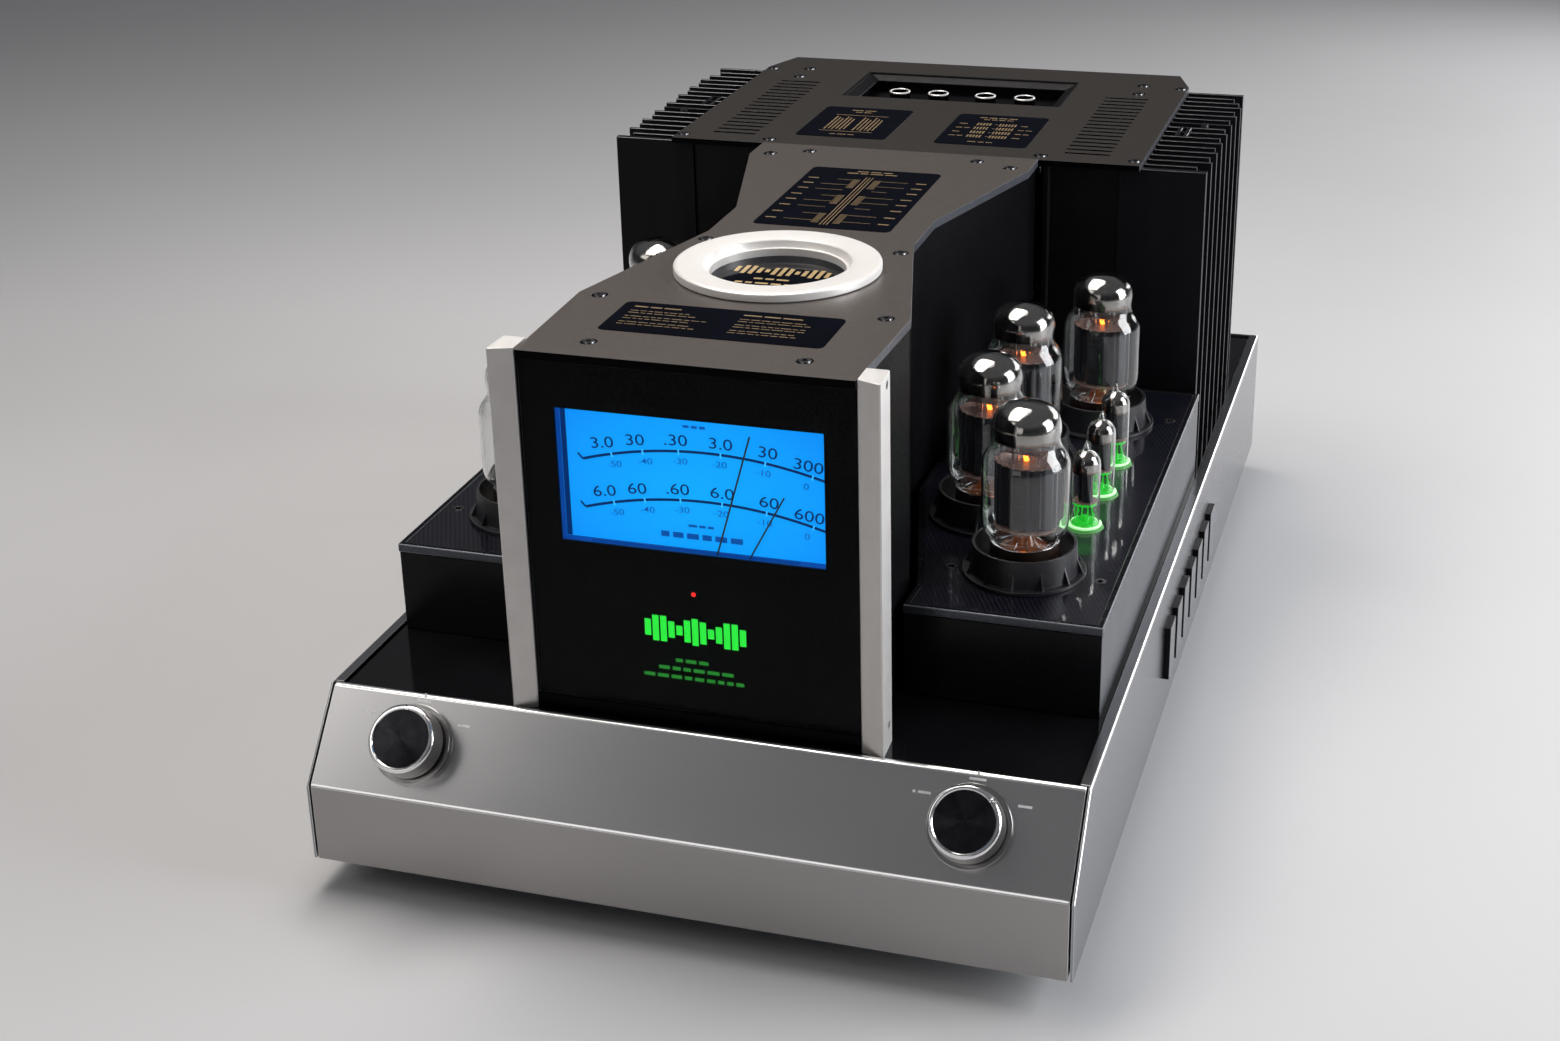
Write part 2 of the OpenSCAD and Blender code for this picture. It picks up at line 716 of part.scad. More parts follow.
module trim_pots() {
    color([0.1, 0.16, 0.12]) place() for (x = trim_x)
        translate([x, trim_y, recess_floor - 16]) difference() {
            span([-8, -8, 0], [8, 8, 14]);
            translate([0, 0, 3]) cylinder(r = 2.05, h = 12);
        }
}

// How much shorter than the longest fin number i is
function fin_cut(i) = i == 1 || i == fin_count - 2 ? 8 : (i % 2) * 3;

// Screw channels joining neighbouring fins, about the middle of the right heatsink
module fin_webs() {
    mid = (block_side_y - block_y - fin_t) / 2;
    near = (floor(fin_count / 2) - 2) * fin_pitch - mid;
    h = fin_top - base_h + 1.6;
    for (x = [-web_w, web_w])
        span([web_x + x - fin_t / 2, near, 0], [web_x + x + fin_t / 2, near + 2 * fin_pitch, h]);
    translate([web_x + 4 * web_w, near + 3 * fin_pitch, 0]) cylinder(r = web_w, h = h);
}

// Fin from x0 to x1 at y, lower where the top plate covers it
module fin(x0, x1, y, t, low) {
    span([x0, y, low], [x1, y + t, fin_root]);
    span([block_w / 2 + gap, y, fin_root - 1], [x1, y + t, fin_top]);
}

module heatsinks() {
    low = base_h - 1.6;
    screw_r = 2.1;
    color([0.03, 0.03, 0.032]) place() difference() {
        union() {
            both_sides() {
                span([spine_x, block_y, low], [spine_x + 6, block_side_y, fin_root]);
                fin(spine_x - 8, fin_reach, block_y, 5, low);
                for (i = [1:fin_count - 1])
                    fin(spine_x + 5, fin_reach - fin_cut(i), block_y + i * fin_pitch, fin_t, low);
            }
            for (a = [0, 180])
                translate([0, (block_y + block_side_y) / 2, low]) rotate([0, 0, a]) fin_webs();
        }
        for (p = rear_screws, s = [-1, 1])
            translate([s * p[0], p[1], rear_z - 14]) cylinder(r = screw_r, h = 14);
    }
}

module block_walls() {
    low = base_h - 1.6;
    top = rear_z - rear_t - gap;
    color([0.03, 0.03, 0.033]) place() both_sides() {
        span([104.5, block_y + 2, low], [panel_x - gap, block_y + 4, top]);
        span([100.3, block_y - 2.8, low], [104.5, block_y + 5, top]);
        span([panel_x - 2, block_side_y + gap, low], [panel_x, panel_y - gap, top]);
    }
}

module rear_panel() {
    low = base_h - 1.6;
    color([0.05, 0.05, 0.055]) place() difference() {
        span([-panel_x, panel_y, low], [panel_x, panel_y + 2, rear_z - rear_t - gap]);
        for (p = post_at)
            translate([p[0], panel_y - 1, p[1]]) rotate([-90, 0, 0]) cylinder(r = 5, h = 4);
        for (p = jack_at)
            translate([p[0], panel_y - 1, p[1]]) rotate([-90, 0, 0]) cylinder(r = 11.7, h = 4);
        span([86, panel_y - 1, 205], [118, panel_y + 3, 231]);
    }
}

module speaker_posts() {
    color([0.78, 0.62, 0.3]) place() for (p = post_at)
        translate([p[0], panel_y, p[1]]) rotate([-90, 0, 0]) {
            translate([0, 0, -14]) cylinder(r = 3, h = 38);
            translate([0, 0, -2]) cylinder(r = 4.9, h = 4.2);
            translate([0, 0, 2.2]) cylinder(r = 8, h = 3);
            translate([0, 0, 7]) cylinder(r = 8.5, h = 15);
        }
}

module signal_jacks() {
    color([0.5, 0.5, 0.52]) place() for (p = jack_at)
        translate([p[0], panel_y, p[1]]) rotate([-90, 0, 0]) difference() {
            union() {
                translate([0, 0, -20]) cylinder(r = 11.5, h = 22.5);
                translate([0, 0, 2.2]) cylinder(r = 13.5, h = 2.5);
            }
            translate([0, 0, -12]) cylinder(r = 8, h = 30);
        }
}

module mains_inlet() {
    color([0.03, 0.03, 0.032]) place() difference() {
        union() {
            span([86.2, panel_y - 24, 205.2], [117.8, panel_y + 3, 230.8]);
            span([82, panel_y + 2.2, 200], [122, panel_y + 5, 236]);
        }
        span([89, panel_y - 18, 208], [115, panel_y + 8, 228]);
    }
}

// ---- Controls ----

// Large knob with its shaft, in the local frame of the slant
module big_knob(mark) {
    difference() {
        union() {
            translate([0, 0, 6]) cylinder(r1 = knob_r + 0.9, r2 = knob_r, h = knob_h - 6);
            translate([0, 0, -14]) cylinder(r = 3, h = 21);
        }
        translate([0, 0, knob_h - 1.6]) cylinder(r = knob_r - 3, h = 3);
        rotate([0, 0, mark]) span([-0.7, knob_r - 1.6, knob_h - 1.2], [0.7, knob_r + 2, knob_h + 1]);
    }
}

module inlay() {
    translate([0, 0, knob_h - 1.59]) cylinder(r = knob_r - 3.06, h = 1.1);
}

module mode_knob() {
    color([0.75, 0.75, 0.74]) place() on_slant(-knob_x) big_knob(0);
}

module mode_inlay() {
    color([0.03, 0.03, 0.04]) place() on_slant(-knob_x) inlay();
}

module power_knob() {
    color([0.75, 0.75, 0.74]) place() on_slant(knob_x) big_knob(-45);
}

module power_inlay() {
    color([0.03, 0.03, 0.04]) place() on_slant(knob_x) inlay();
}

module knob_bezels() {
    color([0.6, 0.58, 0.55]) place() for (x = [-knob_x, knob_x])
        on_slant(x) translate([0, 0, 0.05]) pipe(knob_r + 3.6, 8, 4.2);
}

module rotary_switches() {
    color([0.12, 0.12, 0.14]) place() for (x = [-knob_x, knob_x])
        on_slant(x) difference() {
            union() {
                translate([0, 0, -fascia_t - 20]) cylinder(r = 14, h = 20 - gap);
                translate([0, 0, -fascia_t - 1]) cylinder(r = 4.8, h = fascia_t + 3);
            }
            translate([0, 0, -16]) cylinder(r = 3.05, h = 30);
        }
}

// ---- Inside ----

// Laminated core with its winding, standing on z = 0
module transformer(w, d, h) {
    difference() {
        span([-w / 2, -d / 4, 0], [w / 2, d / 4, h]);
        for (s = [-1, 1])
            span([s * w / 4 - w / 10, -d, h * 0.2], [s * w / 4 + w / 10, d, h * 0.8]);
    }
    difference() {
        span([-w * 0.34, -d / 2, h * 0.22], [w * 0.34, d / 2, h * 0.78]);
        span([-w * 0.151, -d / 4 - 0.1, 0], [w * 0.151, d / 4 + 0.1, h]);
    }
}

module mains_transformer() {
    color([0.3, 0.2, 0.12]) place() translate([0, 150, base_h - 1.6]) transformer(110, 90, 110);
}

module output_transformers() {
    color([0.25, 0.22, 0.2]) place() {
        translate([0, 395, base_h - 1.6]) transformer(96, 80, 100);
        translate([0, 610, base_h - 1.6]) transformer(96, 80, 100);
    }
}

module capacitors() {
    color([0.05, 0.08, 0.2]) place() both_sides() for (y = [540, 600, 660])
        translate([112, y, base_h - 1.6]) cylinder(r = 24, h = 90);
}

module circuit_boards() {
    color([0.03, 0.2, 0.09]) place() {
        span([-150, 500, 12], [150, 720, 13.6]);
        both_sides() {
            span([spine_x - 6, 510, 110], [spine_x - 4.4, 690, 260]);
            span([140, 200, deck_z - 27.3], [200, 400, deck_z - 25.7]);
        }
    }
}

base_pan();
fascia();
side_panels();
base_lid();
feet();
side_badges();
deck_bodies();
deck_trims();
deck_plates();
tube_collars();
tube_sockets();
tube_bases();
tube_glass();
tube_anodes();
tube_micas();
tube_getters();
tube_heaters();
small_glass();
small_anodes();
small_sockets();
cage_inserts();
tower_walls();
tower_plate();
end_caps();
front_glass();
front_mask();
emblem_light();
standby_lamp();
meter_frame();
meter_scale();
meter_movement();
needle_long();
needle_short();
top_ring();
ring_window();
info_plates();
rear_plate();
plate_screws();
recess_tray();
trim_knob_1();
trim_knob_2();
trim_knob_3();
trim_knob_4();
trim_pots();
heatsinks();
block_walls();
rear_panel();
speaker_posts();
signal_jacks();
mains_inlet();
mode_knob();
mode_inlay();
power_knob();
power_inlay();
knob_bezels();
rotary_switches();
mains_transformer();
output_transformers();
capacitors();
circuit_boards();
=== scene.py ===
import math
import random

import bmesh
import bpy
from mathutils import Matrix, Vector


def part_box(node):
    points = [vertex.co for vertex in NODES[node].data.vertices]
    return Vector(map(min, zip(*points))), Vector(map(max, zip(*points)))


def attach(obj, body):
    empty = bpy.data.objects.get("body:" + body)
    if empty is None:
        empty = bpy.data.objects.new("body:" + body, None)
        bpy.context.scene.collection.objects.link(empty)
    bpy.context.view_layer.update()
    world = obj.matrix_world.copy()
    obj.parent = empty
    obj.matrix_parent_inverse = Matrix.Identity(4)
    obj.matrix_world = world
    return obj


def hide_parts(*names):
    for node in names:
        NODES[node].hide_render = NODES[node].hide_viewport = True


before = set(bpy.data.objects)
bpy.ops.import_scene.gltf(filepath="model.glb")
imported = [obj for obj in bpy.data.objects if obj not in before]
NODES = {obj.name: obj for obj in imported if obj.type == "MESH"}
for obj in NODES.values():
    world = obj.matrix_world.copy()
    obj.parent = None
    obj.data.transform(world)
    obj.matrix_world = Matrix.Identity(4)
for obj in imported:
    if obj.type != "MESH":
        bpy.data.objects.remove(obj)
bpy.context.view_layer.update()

# ---------------- the frame
# Millimetres on the base: x from the centre plane, y back from the fascia, z up from
# the base's underside, as in the CAD source.
SIDE_LO, SIDE_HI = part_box("side_panels")
BASE_H = (SIDE_HI.z - SIDE_LO.z) * 1000
LIP_H = 48.5
SLANT_D = 39.0
TOWER_Z = 308.5
REAR_Z = TOWER_Z - 0.6
DECK_Z = 149.3
SCALE_Y = 58.2
RING_Y = 210.0
TRIM_Y = 664
GLASS_BACK_Y = 50.68
# half width, front and back of the plates' level tops
TOWER_TOP = (64.8, 46.7, 478.8)
REAR_TOP = (153.5, 479.6, 738.5)
# distances from the centre plane, in metres, that tell faces and edges apart
CAP_SIDE, TRIM_INNER, DECK_SIDE, FIN_BARE, REAR_LIP = 0.105, 0.206, 0.2115, 0.1655, 0.149
# the same along a knob's axis and out from it
RIM_Z, LID_Z, LID_R = 0.0186, 0.0089, 0.0066
# vertices closer than this are one, and edges flatter than this are dropped
WELD, FLAT = 2e-6, math.radians(0.6)
VALVES = [(155.5, 178), (118, 249), (118, 344), (155.5, 415)]
SMALLS = [(177.5, 247), (177.5, 297), (177.5, 347)]


def P(x, y, z):
    """Point of the base frame, in millimetres, as a vector of the row frame, in metres."""
    return Vector((x / 1000, y / 1000 + SIDE_LO.y, z / 1000 + SIDE_LO.z))


# ---------------- materials
def material(name):
    m = bpy.data.materials.new(name)
    m.use_nodes = True
    t = m.node_tree
    t.nodes.clear()
    out = t.nodes.new("ShaderNodeOutputMaterial")
    sh = t.nodes.new("ShaderNodeBsdfPrincipled")
    t.links.new(sh.outputs[0], out.inputs[0])
    return m, t, sh, out


def position(t):
    """The object's own coordinates."""
    return t.nodes.new("ShaderNodeTexCoord").outputs["Object"]


def coords(t, scale=(1, 1, 1)):
    mp = t.nodes.new("ShaderNodeMapping")
    mp.inputs["Scale"].default_value = scale
    t.links.new(position(t), mp.inputs[0])
    return mp.outputs[0]


def noise(t, vec, scale, detail=4.0, rough=0.55):
    n = t.nodes.new("ShaderNodeTexNoise")
    n.inputs["Scale"].default_value = scale
    n.inputs["Detail"].default_value = detail
    n.inputs["Roughness"].default_value = rough
    t.links.new(vec, n.inputs["Vector"])
    return n.outputs["Fac"]


def ramp(t, fac, stops):
    r = t.nodes.new("ShaderNodeValToRGB")
    el = r.color_ramp.elements
    while len(el) < len(stops):
        el.new(0.5)
    for e, (pos, col) in zip(el, stops):
        e.position = pos
        e.color = (*col, 1)
    t.links.new(fac, r.inputs[0])
    return r.outputs[0]


def remap(t, fac, lo, hi, a=0.3, b=0.7):
    r = t.nodes.new("ShaderNodeMapRange")
    r.inputs["From Min"].default_value = a
    r.inputs["From Max"].default_value = b
    r.inputs["To Min"].default_value = lo
    r.inputs["To Max"].default_value = hi
    t.links.new(fac, r.inputs["Value"])
    return r.outputs[0]


def bump(t, sh, height, strength, distance):
    b = t.nodes.new("ShaderNodeBump")
    b.inputs["Strength"].default_value = strength
    b.inputs["Distance"].default_value = distance
    t.links.new(height, b.inputs["Height"])
    t.links.new(b.outputs[0], sh.inputs["Normal"])


def calc(t, kind, operation, *values):
    """Math node of the given kind; each value is a socket to link or a constant."""
    node = t.nodes.new(kind)
    node.operation = operation
    for socket, value in zip(node.inputs, values):
        if isinstance(value, bpy.types.NodeSocket):
            t.links.new(value, socket)
        else:
            socket.default_value = value
    return node.outputs


def shade(c, k):
    return tuple(min(1.0, v * k) for v in c)


def finish_mat(name, color, metallic, rough, vary, scale, stretch=(1, 1, 1), grain=None,
               coat=0.0, coat_rough=0.05, spec=None, emit=None):
    """Principled finish with colour and roughness variation and a fine grain bump."""
    m, t, sh, out = material(name)
    vec = coords(t, stretch)
    n = noise(t, vec, scale)
    c = ramp(t, n, [(0.32, shade(color, 1 - vary)), (0.68, shade(color, 1 + vary))])
    t.links.new(c, sh.inputs["Base Color"])
    sh.inputs["Metallic"].default_value = metallic
    n2 = noise(t, vec, scale * 3.1, 3.0)
    t.links.new(remap(t, n2, rough[0], rough[1]), sh.inputs["Roughness"])
    if grain:
        g_scale, g_strength, g_dist = grain[:3]
        g_vec = coords(t, grain[3]) if len(grain) > 3 else vec
        bump(t, sh, noise(t, g_vec, g_scale, 2.0, 0.6), g_strength, g_dist)
    sh.inputs["Coat Weight"].default_value = coat
    sh.inputs["Coat Roughness"].default_value = coat_rough
    if spec is not None:
        sh.inputs["Specular IOR Level"].default_value = spec
    if emit:
        sh.inputs["Emission Color"].default_value = (*emit[0], 1)
        sh.inputs["Emission Strength"].default_value = emit[1]
    return m


# key: name, colour, metallic, roughness range, variation, pattern scale, further settings
FINISHES = {
    "steel": ("polished_steel", (0.54, 0.535, 0.54), 1, (0.25, 0.27), 0.02, 5,
        dict(stretch=(0.4, 1, 1), grain=(260, 0.006, 0.00002, (0.05, 1, 1)))),
    # the side panels' and badges' steel: the polished steel painted darker, with a bluer tint, as painted
    # shade
    "steel_side": ("polished_steel_side", (0.32, 0.325, 0.345), 1, (0.25, 0.28), 0.03, 5,
        dict(stretch=(1, 0.4, 1), grain=(260, 0.006, 0.00002, (1, 0.05, 1)))),
    "gloss_black": ("gloss_black", (0.005, 0.005, 0.006), 0, (0.06, 0.12), 0.3, 14,
        dict(spec=0.35, coat=0.25, coat_rough=0.03)),
    "pan_black": ("pan_black", (0.02, 0.02, 0.022), 0, (0.45, 0.6), 0.2, 40,
        dict(grain=(1600, 0.25, 0.0001))),
    "satin_black": ("satin_black", (0.005, 0.005, 0.006), 0, (0.34, 0.44), 0.2, 60,
        dict(grain=(2400, 0.12, 0.00006), spec=0.12)),
    "crinkle": ("crinkle_black", (0.0016, 0.0016, 0.0024), 0, (0.42, 0.55), 0.25, 220,
        dict(grain=(1100, 0.5, 0.00022), spec=0.07)),
    "deck_black": ("deck_black", (0.006, 0.006, 0.008), 0, (0.22, 0.3), 0.2, 30, dict(spec=0.12)),
    # the fascia lip's front faces: the polished steel painted darker, a painted shade
    "steel_front": ("polished_steel_front", (0.34, 0.325, 0.32), 1, (0.25, 0.27), 0.02, 5,
        dict(stretch=(0.4, 1, 1), grain=(260, 0.006, 0.00002, (0.05, 1, 1)))),
    "taupe": ("taupe_plate", (0.116, 0.101, 0.092), 0.45, (0.3, 0.38), 0.08, 400,
        dict(grain=(3200, 0.18, 0.00006), spec=0.5)),
    # the rear plate: the taupe painted darker, a painted shade for the light that falls off towards the back
    "taupe_rear": ("taupe_rear_plate", (0.048, 0.042, 0.038), 0.45, (0.3, 0.38), 0.08, 400,
        dict(grain=(3200, 0.18, 0.00006), spec=0.4)),
    "edge_blue": ("blue_grey_edge", (0.085, 0.09, 0.105), 0.5, (0.36, 0.46), 0.08, 90, {}),
    "knob_alu": ("knob_alu", (0.42, 0.405, 0.395), 1, (0.30, 0.36), 0.10, 40,
        dict(stretch=(1, 1, 0.02))),
    # the folds' bevels: steel painted near white, a painted highlight
    "fold": ("polished_fold", (0.95, 0.95, 0.96), 0.9, (0.16, 0.2), 0.02, 20, {}),
    "rim": ("knob_rim", (0.85, 0.85, 0.86), 1, (0.12, 0.2), 0.03, 60, {}),
    "bezel": ("bezel_steel", (0.42, 0.415, 0.41), 1, (0.14, 0.2), 0.05, 60, {}),
    "alu": ("satin_alu", (0.60, 0.575, 0.555), 0.8, (0.36, 0.44), 0.03, 60,
        dict(grain=(2600, 0.10, 0.00004))),
    # the caps' tops and outer sides and the trim knobs' rings: the aluminium painted lighter, as painted
    # light
    "alu_side": ("satin_alu_side", (0.90, 0.88, 0.86), 0.6, (0.36, 0.44), 0.03, 60,
        dict(grain=(2600, 0.10, 0.00004))),
    "deck_side": ("deck_side_grey", (0.125, 0.13, 0.142), 0.7, (0.38, 0.42), 0.03, 8, {}),
    "trim_dark": ("deck_trim", (0.055, 0.06, 0.07), 0.6, (0.24, 0.3), 0.06, 60, {}),
    # the deck trims' bevels: a lighter grey painted as a highlight
    "edge_highlight": ("bright_edge", (0.17, 0.18, 0.205), 0.8, (0.30, 0.34), 0.03, 60, {}),
    # the fins' bevels: a lighter grey painted as a highlight
    "fin_edge": ("fin_edge", (0.125, 0.125, 0.13), 0.7, (0.26, 0.34), 0.1, 60, {}),
    "tick": ("dial_ticks", (0.02, 0.3, 0.8), 0, (0.4, 0.5), 0.05, 90,
        dict(emit=((0.02, 0.44, 1), 1))),
    "dial_shade": ("dial_shade", (0.002, 0.02, 0.09), 0, (0.4, 0.5), 0.1, 90,
        dict(spec=0.1, emit=((0, 0.022, 0.13), 0.9))),
    "pearl": ("pearl_alu", (0.87, 0.845, 0.82), 0.25, (0.33, 0.4), 0.02, 60,
        dict(grain=(3000, 0.08, 0.00003))),
    "mask": ("mask_black", (0.0012, 0.0012, 0.0016), 0, (0.3, 0.4), 0.2, 30, dict(spec=0.03)),
    # the reveal round the dial: the dial's light on it is painted as a blue glow
    "reveal": ("meter_reveal", (0.012, 0.06, 0.22), 0, (0.35, 0.45), 0.15, 80,
        dict(emit=((0.001, 0.045, 0.24), 0.9), spec=0.1)),
    "collar": ("collar_black", (0.014, 0.014, 0.018), 0, (0.36, 0.48), 0.2, 160,
        dict(grain=(2600, 0.15, 0.00008))),
    "ceramic": ("socket_ceramic", (0.78, 0.76, 0.70), 0, (0.2, 0.32), 0.05, 60, dict(coat=0.3)),
    "phenolic": ("valve_base", (0.022, 0.012, 0.009), 0, (0.25, 0.4), 0.3, 90, dict(coat=0.2)),
    "anode": ("anode_grey", (0.030, 0.031, 0.038), 0.6, (0.34, 0.40), 0.05, 60, {}),
    "mica": ("mica", (0.16, 0.10, 0.085), 0, (0.2, 0.4), 0.2, 220, {}),
    "chrome": ("chrome", (0.86, 0.86, 0.87), 1, (0.05, 0.1), 0.03, 60, {}),
    "screw": ("screw_black", (0.16, 0.16, 0.17), 1, (0.22, 0.34), 0.15, 300,
        dict(grain=(3000, 0.1, 0.00004))),
    "fin": ("heatsink_black", (0.006, 0.006, 0.008), 0, (0.34, 0.44), 0.2, 60,
        dict(spec=0.1, stretch=(1, 1, 0.05), grain=(1500, 0.2, 0.00006, (1, 1, 0.02)))),
    "rubber": ("foot_rubber", (0.018, 0.018, 0.018), 0, (0.6, 0.75), 0.25, 90,
        dict(grain=(1800, 0.3, 0.00015))),
    "gold": ("gold_plate", (0.83, 0.60, 0.26), 1, (0.16, 0.26), 0.06, 90, {}),
    "nickel": ("nickel_plate", (0.62, 0.61, 0.60), 1, (0.2, 0.3), 0.06, 90, {}),
    "mould": ("moulding_black", (0.02, 0.02, 0.022), 0, (0.4, 0.55), 0.2, 120,
        dict(grain=(1800, 0.25, 0.0001))),
    "core": ("transformer_core", (0.10, 0.06, 0.035), 0.5, (0.35, 0.5), 0.3, 300,
        dict(stretch=(0.1, 1, 0.1))),
    "can": ("capacitor_blue", (0.02, 0.04, 0.13), 0, (0.25, 0.35), 0.1, 60, dict(coat=0.2)),
    "board": ("board_green", (0.012, 0.09, 0.035), 0, (0.25, 0.4), 0.3, 260, {}),
    "needle": ("needle_black", (0.004, 0.005, 0.012), 0, (0.35, 0.45), 0.1, 90, {}),
    "navy": ("dial_navy", (0.003, 0.012, 0.06), 0, (0.4, 0.5), 0.1, 90,
        dict(spec=0.1, emit=((0, 0.018, 0.10), 1))),
    "info": ("info_glass", (0.0015, 0.002, 0.005), 0, (0.05, 0.09), 0.2, 40, dict(spec=0.06)),
    "goldline": ("gold_print", (0.30, 0.21, 0.11), 0.5, (0.35, 0.5), 0.15, 300, {}),
    "mark": ("knob_marks", (0.80, 0.80, 0.82), 0, (0.4, 0.5), 0.1, 200, {}),
    "goldprint": ("gold_motif", (0.70, 0.50, 0.24), 0.7, (0.3, 0.45), 0.12, 300, {}),
    "navy_soft": ("dial_small_print", (0.004, 0.06, 0.30), 0, (0.4, 0.5), 0.1, 90,
        dict(emit=((0, 0.07, 0.33), 0.8), spec=0.1)),
    "insert": ("insert_dark", (0.10, 0.10, 0.105), 1, (0.25, 0.4), 0.15, 300, {}),
    # the valves' glass stems: dark amber, with a faint painted glow of the heaters' light
    "amber": ("amber_stem", (0.12, 0.04, 0.015), 0, (0.12, 0.25), 0.35, 160,
        dict(coat=0.6, emit=((1, 0.22, 0.03), 0.06))),
    "green_dim": ("green_print", (0.004, 0.06, 0.01), 0, (0.35, 0.45), 0.1, 300,
        dict(emit=((0.004, 0.5, 0.015), 0.42))),
    "red": ("red_light", (0.8, 0.02, 0.01), 0, (0.2, 0.3), 0.1, 300,
        dict(emit=((1, 0.01, 0.005), 1.6))),
    "green": ("green_light", (0.02, 0.5, 0.06), 0, (0.3, 0.4), 0.1, 300,
        dict(emit=((0.004, 0.72, 0.02), 0.95))),
    "ember": ("heater_glow", (1, 0.35, 0.08), 0, (0.3, 0.4), 0.2, 500,
        dict(emit=((1, 0.22, 0.02), 4.5))),
    "ember_low": ("heater_glow_low", (0.5, 0.14, 0.05), 0.2, (0.3, 0.4), 0.4, 700,
        dict(emit=((1, 0.25, 0.06), 0.9))),
    "green_low": ("green_lit_glass", (0.02, 0.2, 0.03), 0, (0.15, 0.25), 0.3, 300,
        dict(coat=0.5, emit=((0.01, 0.75, 0.02), 0.5))),
    "green_ring": ("green_lit_ring", (0.5, 0.8, 0.5), 0, (0.3, 0.4), 0.1, 300,
        dict(emit=((0.45, 1, 0.40), 0.8))),
    "green_glow": ("green_glow", (0.02, 0.25, 0.03), 0, (0.3, 0.4), 0.2, 700,
        dict(emit=((0.02, 0.9, 0.04), 0.45))),
    "green_base": ("green_lit_base", (0.10, 0.22, 0.10), 0, (0.25, 0.4), 0.1, 200,
        dict(emit=((0.18, 1, 0.16), 0.16))),
}
M = {key: finish_mat(*row[:-1], **row[-1]) for key, row in FINISHES.items()}


def glass_mat(name, color, rough=0.01, ior=1.47):
    """Clear glass that casts no solid shadow."""
    m, t, sh, out = material(name)
    vec = coords(t)
    n = noise(t, vec, 12.0)
    t.links.new(ramp(t, n, [(0.3, shade(color, 0.97)), (0.7, color)]), sh.inputs["Base Color"])
    t.links.new(remap(t, noise(t, vec, 90.0), rough, rough * 2 + 0.01), sh.inputs["Roughness"])
    sh.inputs["Transmission Weight"].default_value = 1.0
    sh.inputs["IOR"].default_value = ior
    clear = t.nodes.new("ShaderNodeBsdfTransparent")
    clear.inputs[0].default_value = (0.9, 0.91, 0.91, 1)
    lamp_ray = t.nodes.new("ShaderNodeLightPath").outputs["Is Shadow Ray"]
    mix = t.nodes.new("ShaderNodeMixShader")
    for socket, value in zip(mix.inputs, (lamp_ray, sh.outputs[0], clear.outputs[0])):
        t.links.new(value, socket)
    t.links.new(mix.outputs[0], out.inputs[0])
    return m


def getter_mat(name, edge, fade):
    """Chrome flash inside a valve's dome that thins out below the height `edge`."""
    m, t, sh, out = material(name)
    sep = t.nodes.new("ShaderNodeSeparateXYZ")
    t.links.new(position(t), sep.inputs[0])
    n = noise(t, coords(t), 130.0, 3.0)
    wave = calc(t, "ShaderNodeMath", "MULTIPLY_ADD", n, fade * 0.9, sep.outputs["Z"])[0]
    up = remap(t, wave, 0.0, 1.0, edge, edge + fade)
    col = ramp(t, up, [(0.0, (0.06, 0.03, 0.018)), (0.35, (0.16, 0.11, 0.08)), (0.8, (0.34, 0.32, 0.30))])
    t.links.new(col, sh.inputs["Base Color"])
    sh.inputs["Metallic"].default_value = 1.0
    t.links.new(remap(t, n, 0.05, 0.12), sh.inputs["Roughness"])
    t.links.new(ramp(t, up, [(0.0, (0, 0, 0)), (0.3, (1, 1, 1))]), sh.inputs["Alpha"])
    return m


def dial_mat():
    """Backlit blue dial, brightest in the middle and darker at its edges."""
    m, t, sh, out = material("meter_blue")
    off = calc(t, "ShaderNodeVectorMath", "SUBTRACT", position(t), P(0, SCALE_Y, 230))[0]
    reach = (1 / 0.125, 0, 1 / 0.085)
    off = calc(t, "ShaderNodeVectorMath", "MULTIPLY", off, reach)[0]
    dist = calc(t, "ShaderNodeVectorMath", "LENGTH", off)["Value"]
    glow = ramp(t, dist, [(0.0, (0.004, 0.40, 1.0)), (0.55, (0.003, 0.33, 0.98)),
                          (1.0, (0.002, 0.20, 0.80))])
    grain = ramp(t, noise(t, coords(t), 600.0), [(0.3, (0.94, 0.94, 0.94)), (0.7, (1, 1, 1))])
    mix = t.nodes.new("ShaderNodeMix")
    mix.data_type = "RGBA"
    mix.blend_type = "MULTIPLY"
    mix.inputs[0].default_value = 1.0
    t.links.new(glow, mix.inputs[6])
    t.links.new(grain, mix.inputs[7])
    t.links.new(mix.outputs[2], sh.inputs["Emission Color"])
    sh.inputs["Emission Strength"].default_value = 1.05
    t.links.new(ramp(t, dist, [(0.0, (0.001, 0.05, 0.16)), (1.0, (0.001, 0.03, 0.12))]),
                sh.inputs["Base Color"])
    sh.inputs["Specular IOR Level"].default_value = 0.05
    t.links.new(remap(t, noise(t, coords(t), 60.0), 0.45, 0.6), sh.inputs["Roughness"])
    return m


def spun_mat():
    """Black anodised face turned on a lathe: fine rings and a radial highlight."""
    m, t, sh, out = material("spun_black")
    vec = coords(t)
    w = t.nodes.new("ShaderNodeTexWave")
    w.wave_type = "RINGS"
    w.rings_direction = "Z"
    w.inputs["Scale"].default_value = 700.0
    w.inputs["Distortion"].default_value = 0.2
    t.links.new(vec, w.inputs["Vector"])
    bump(t, sh, w.outputs["Fac"], 0.12, 0.00003)
    tint = ramp(t, noise(t, vec, 160.0), [(0.3, (0.020, 0.020, 0.024)), (0.7, (0.032, 0.032, 0.037))])
    t.links.new(tint, sh.inputs["Base Color"])
    t.links.new(remap(t, noise(t, vec, 90.0), 0.24, 0.30), sh.inputs["Roughness"])
    sh.inputs["Metallic"].default_value = 1.0
    sh.inputs["Anisotropic"].default_value = 0.95
    tan = t.nodes.new("ShaderNodeTangent")
    tan.direction_type = "RADIAL"
    tan.axis = "Z"
    t.links.new(tan.outputs[0], sh.inputs["Tangent"])
    return m


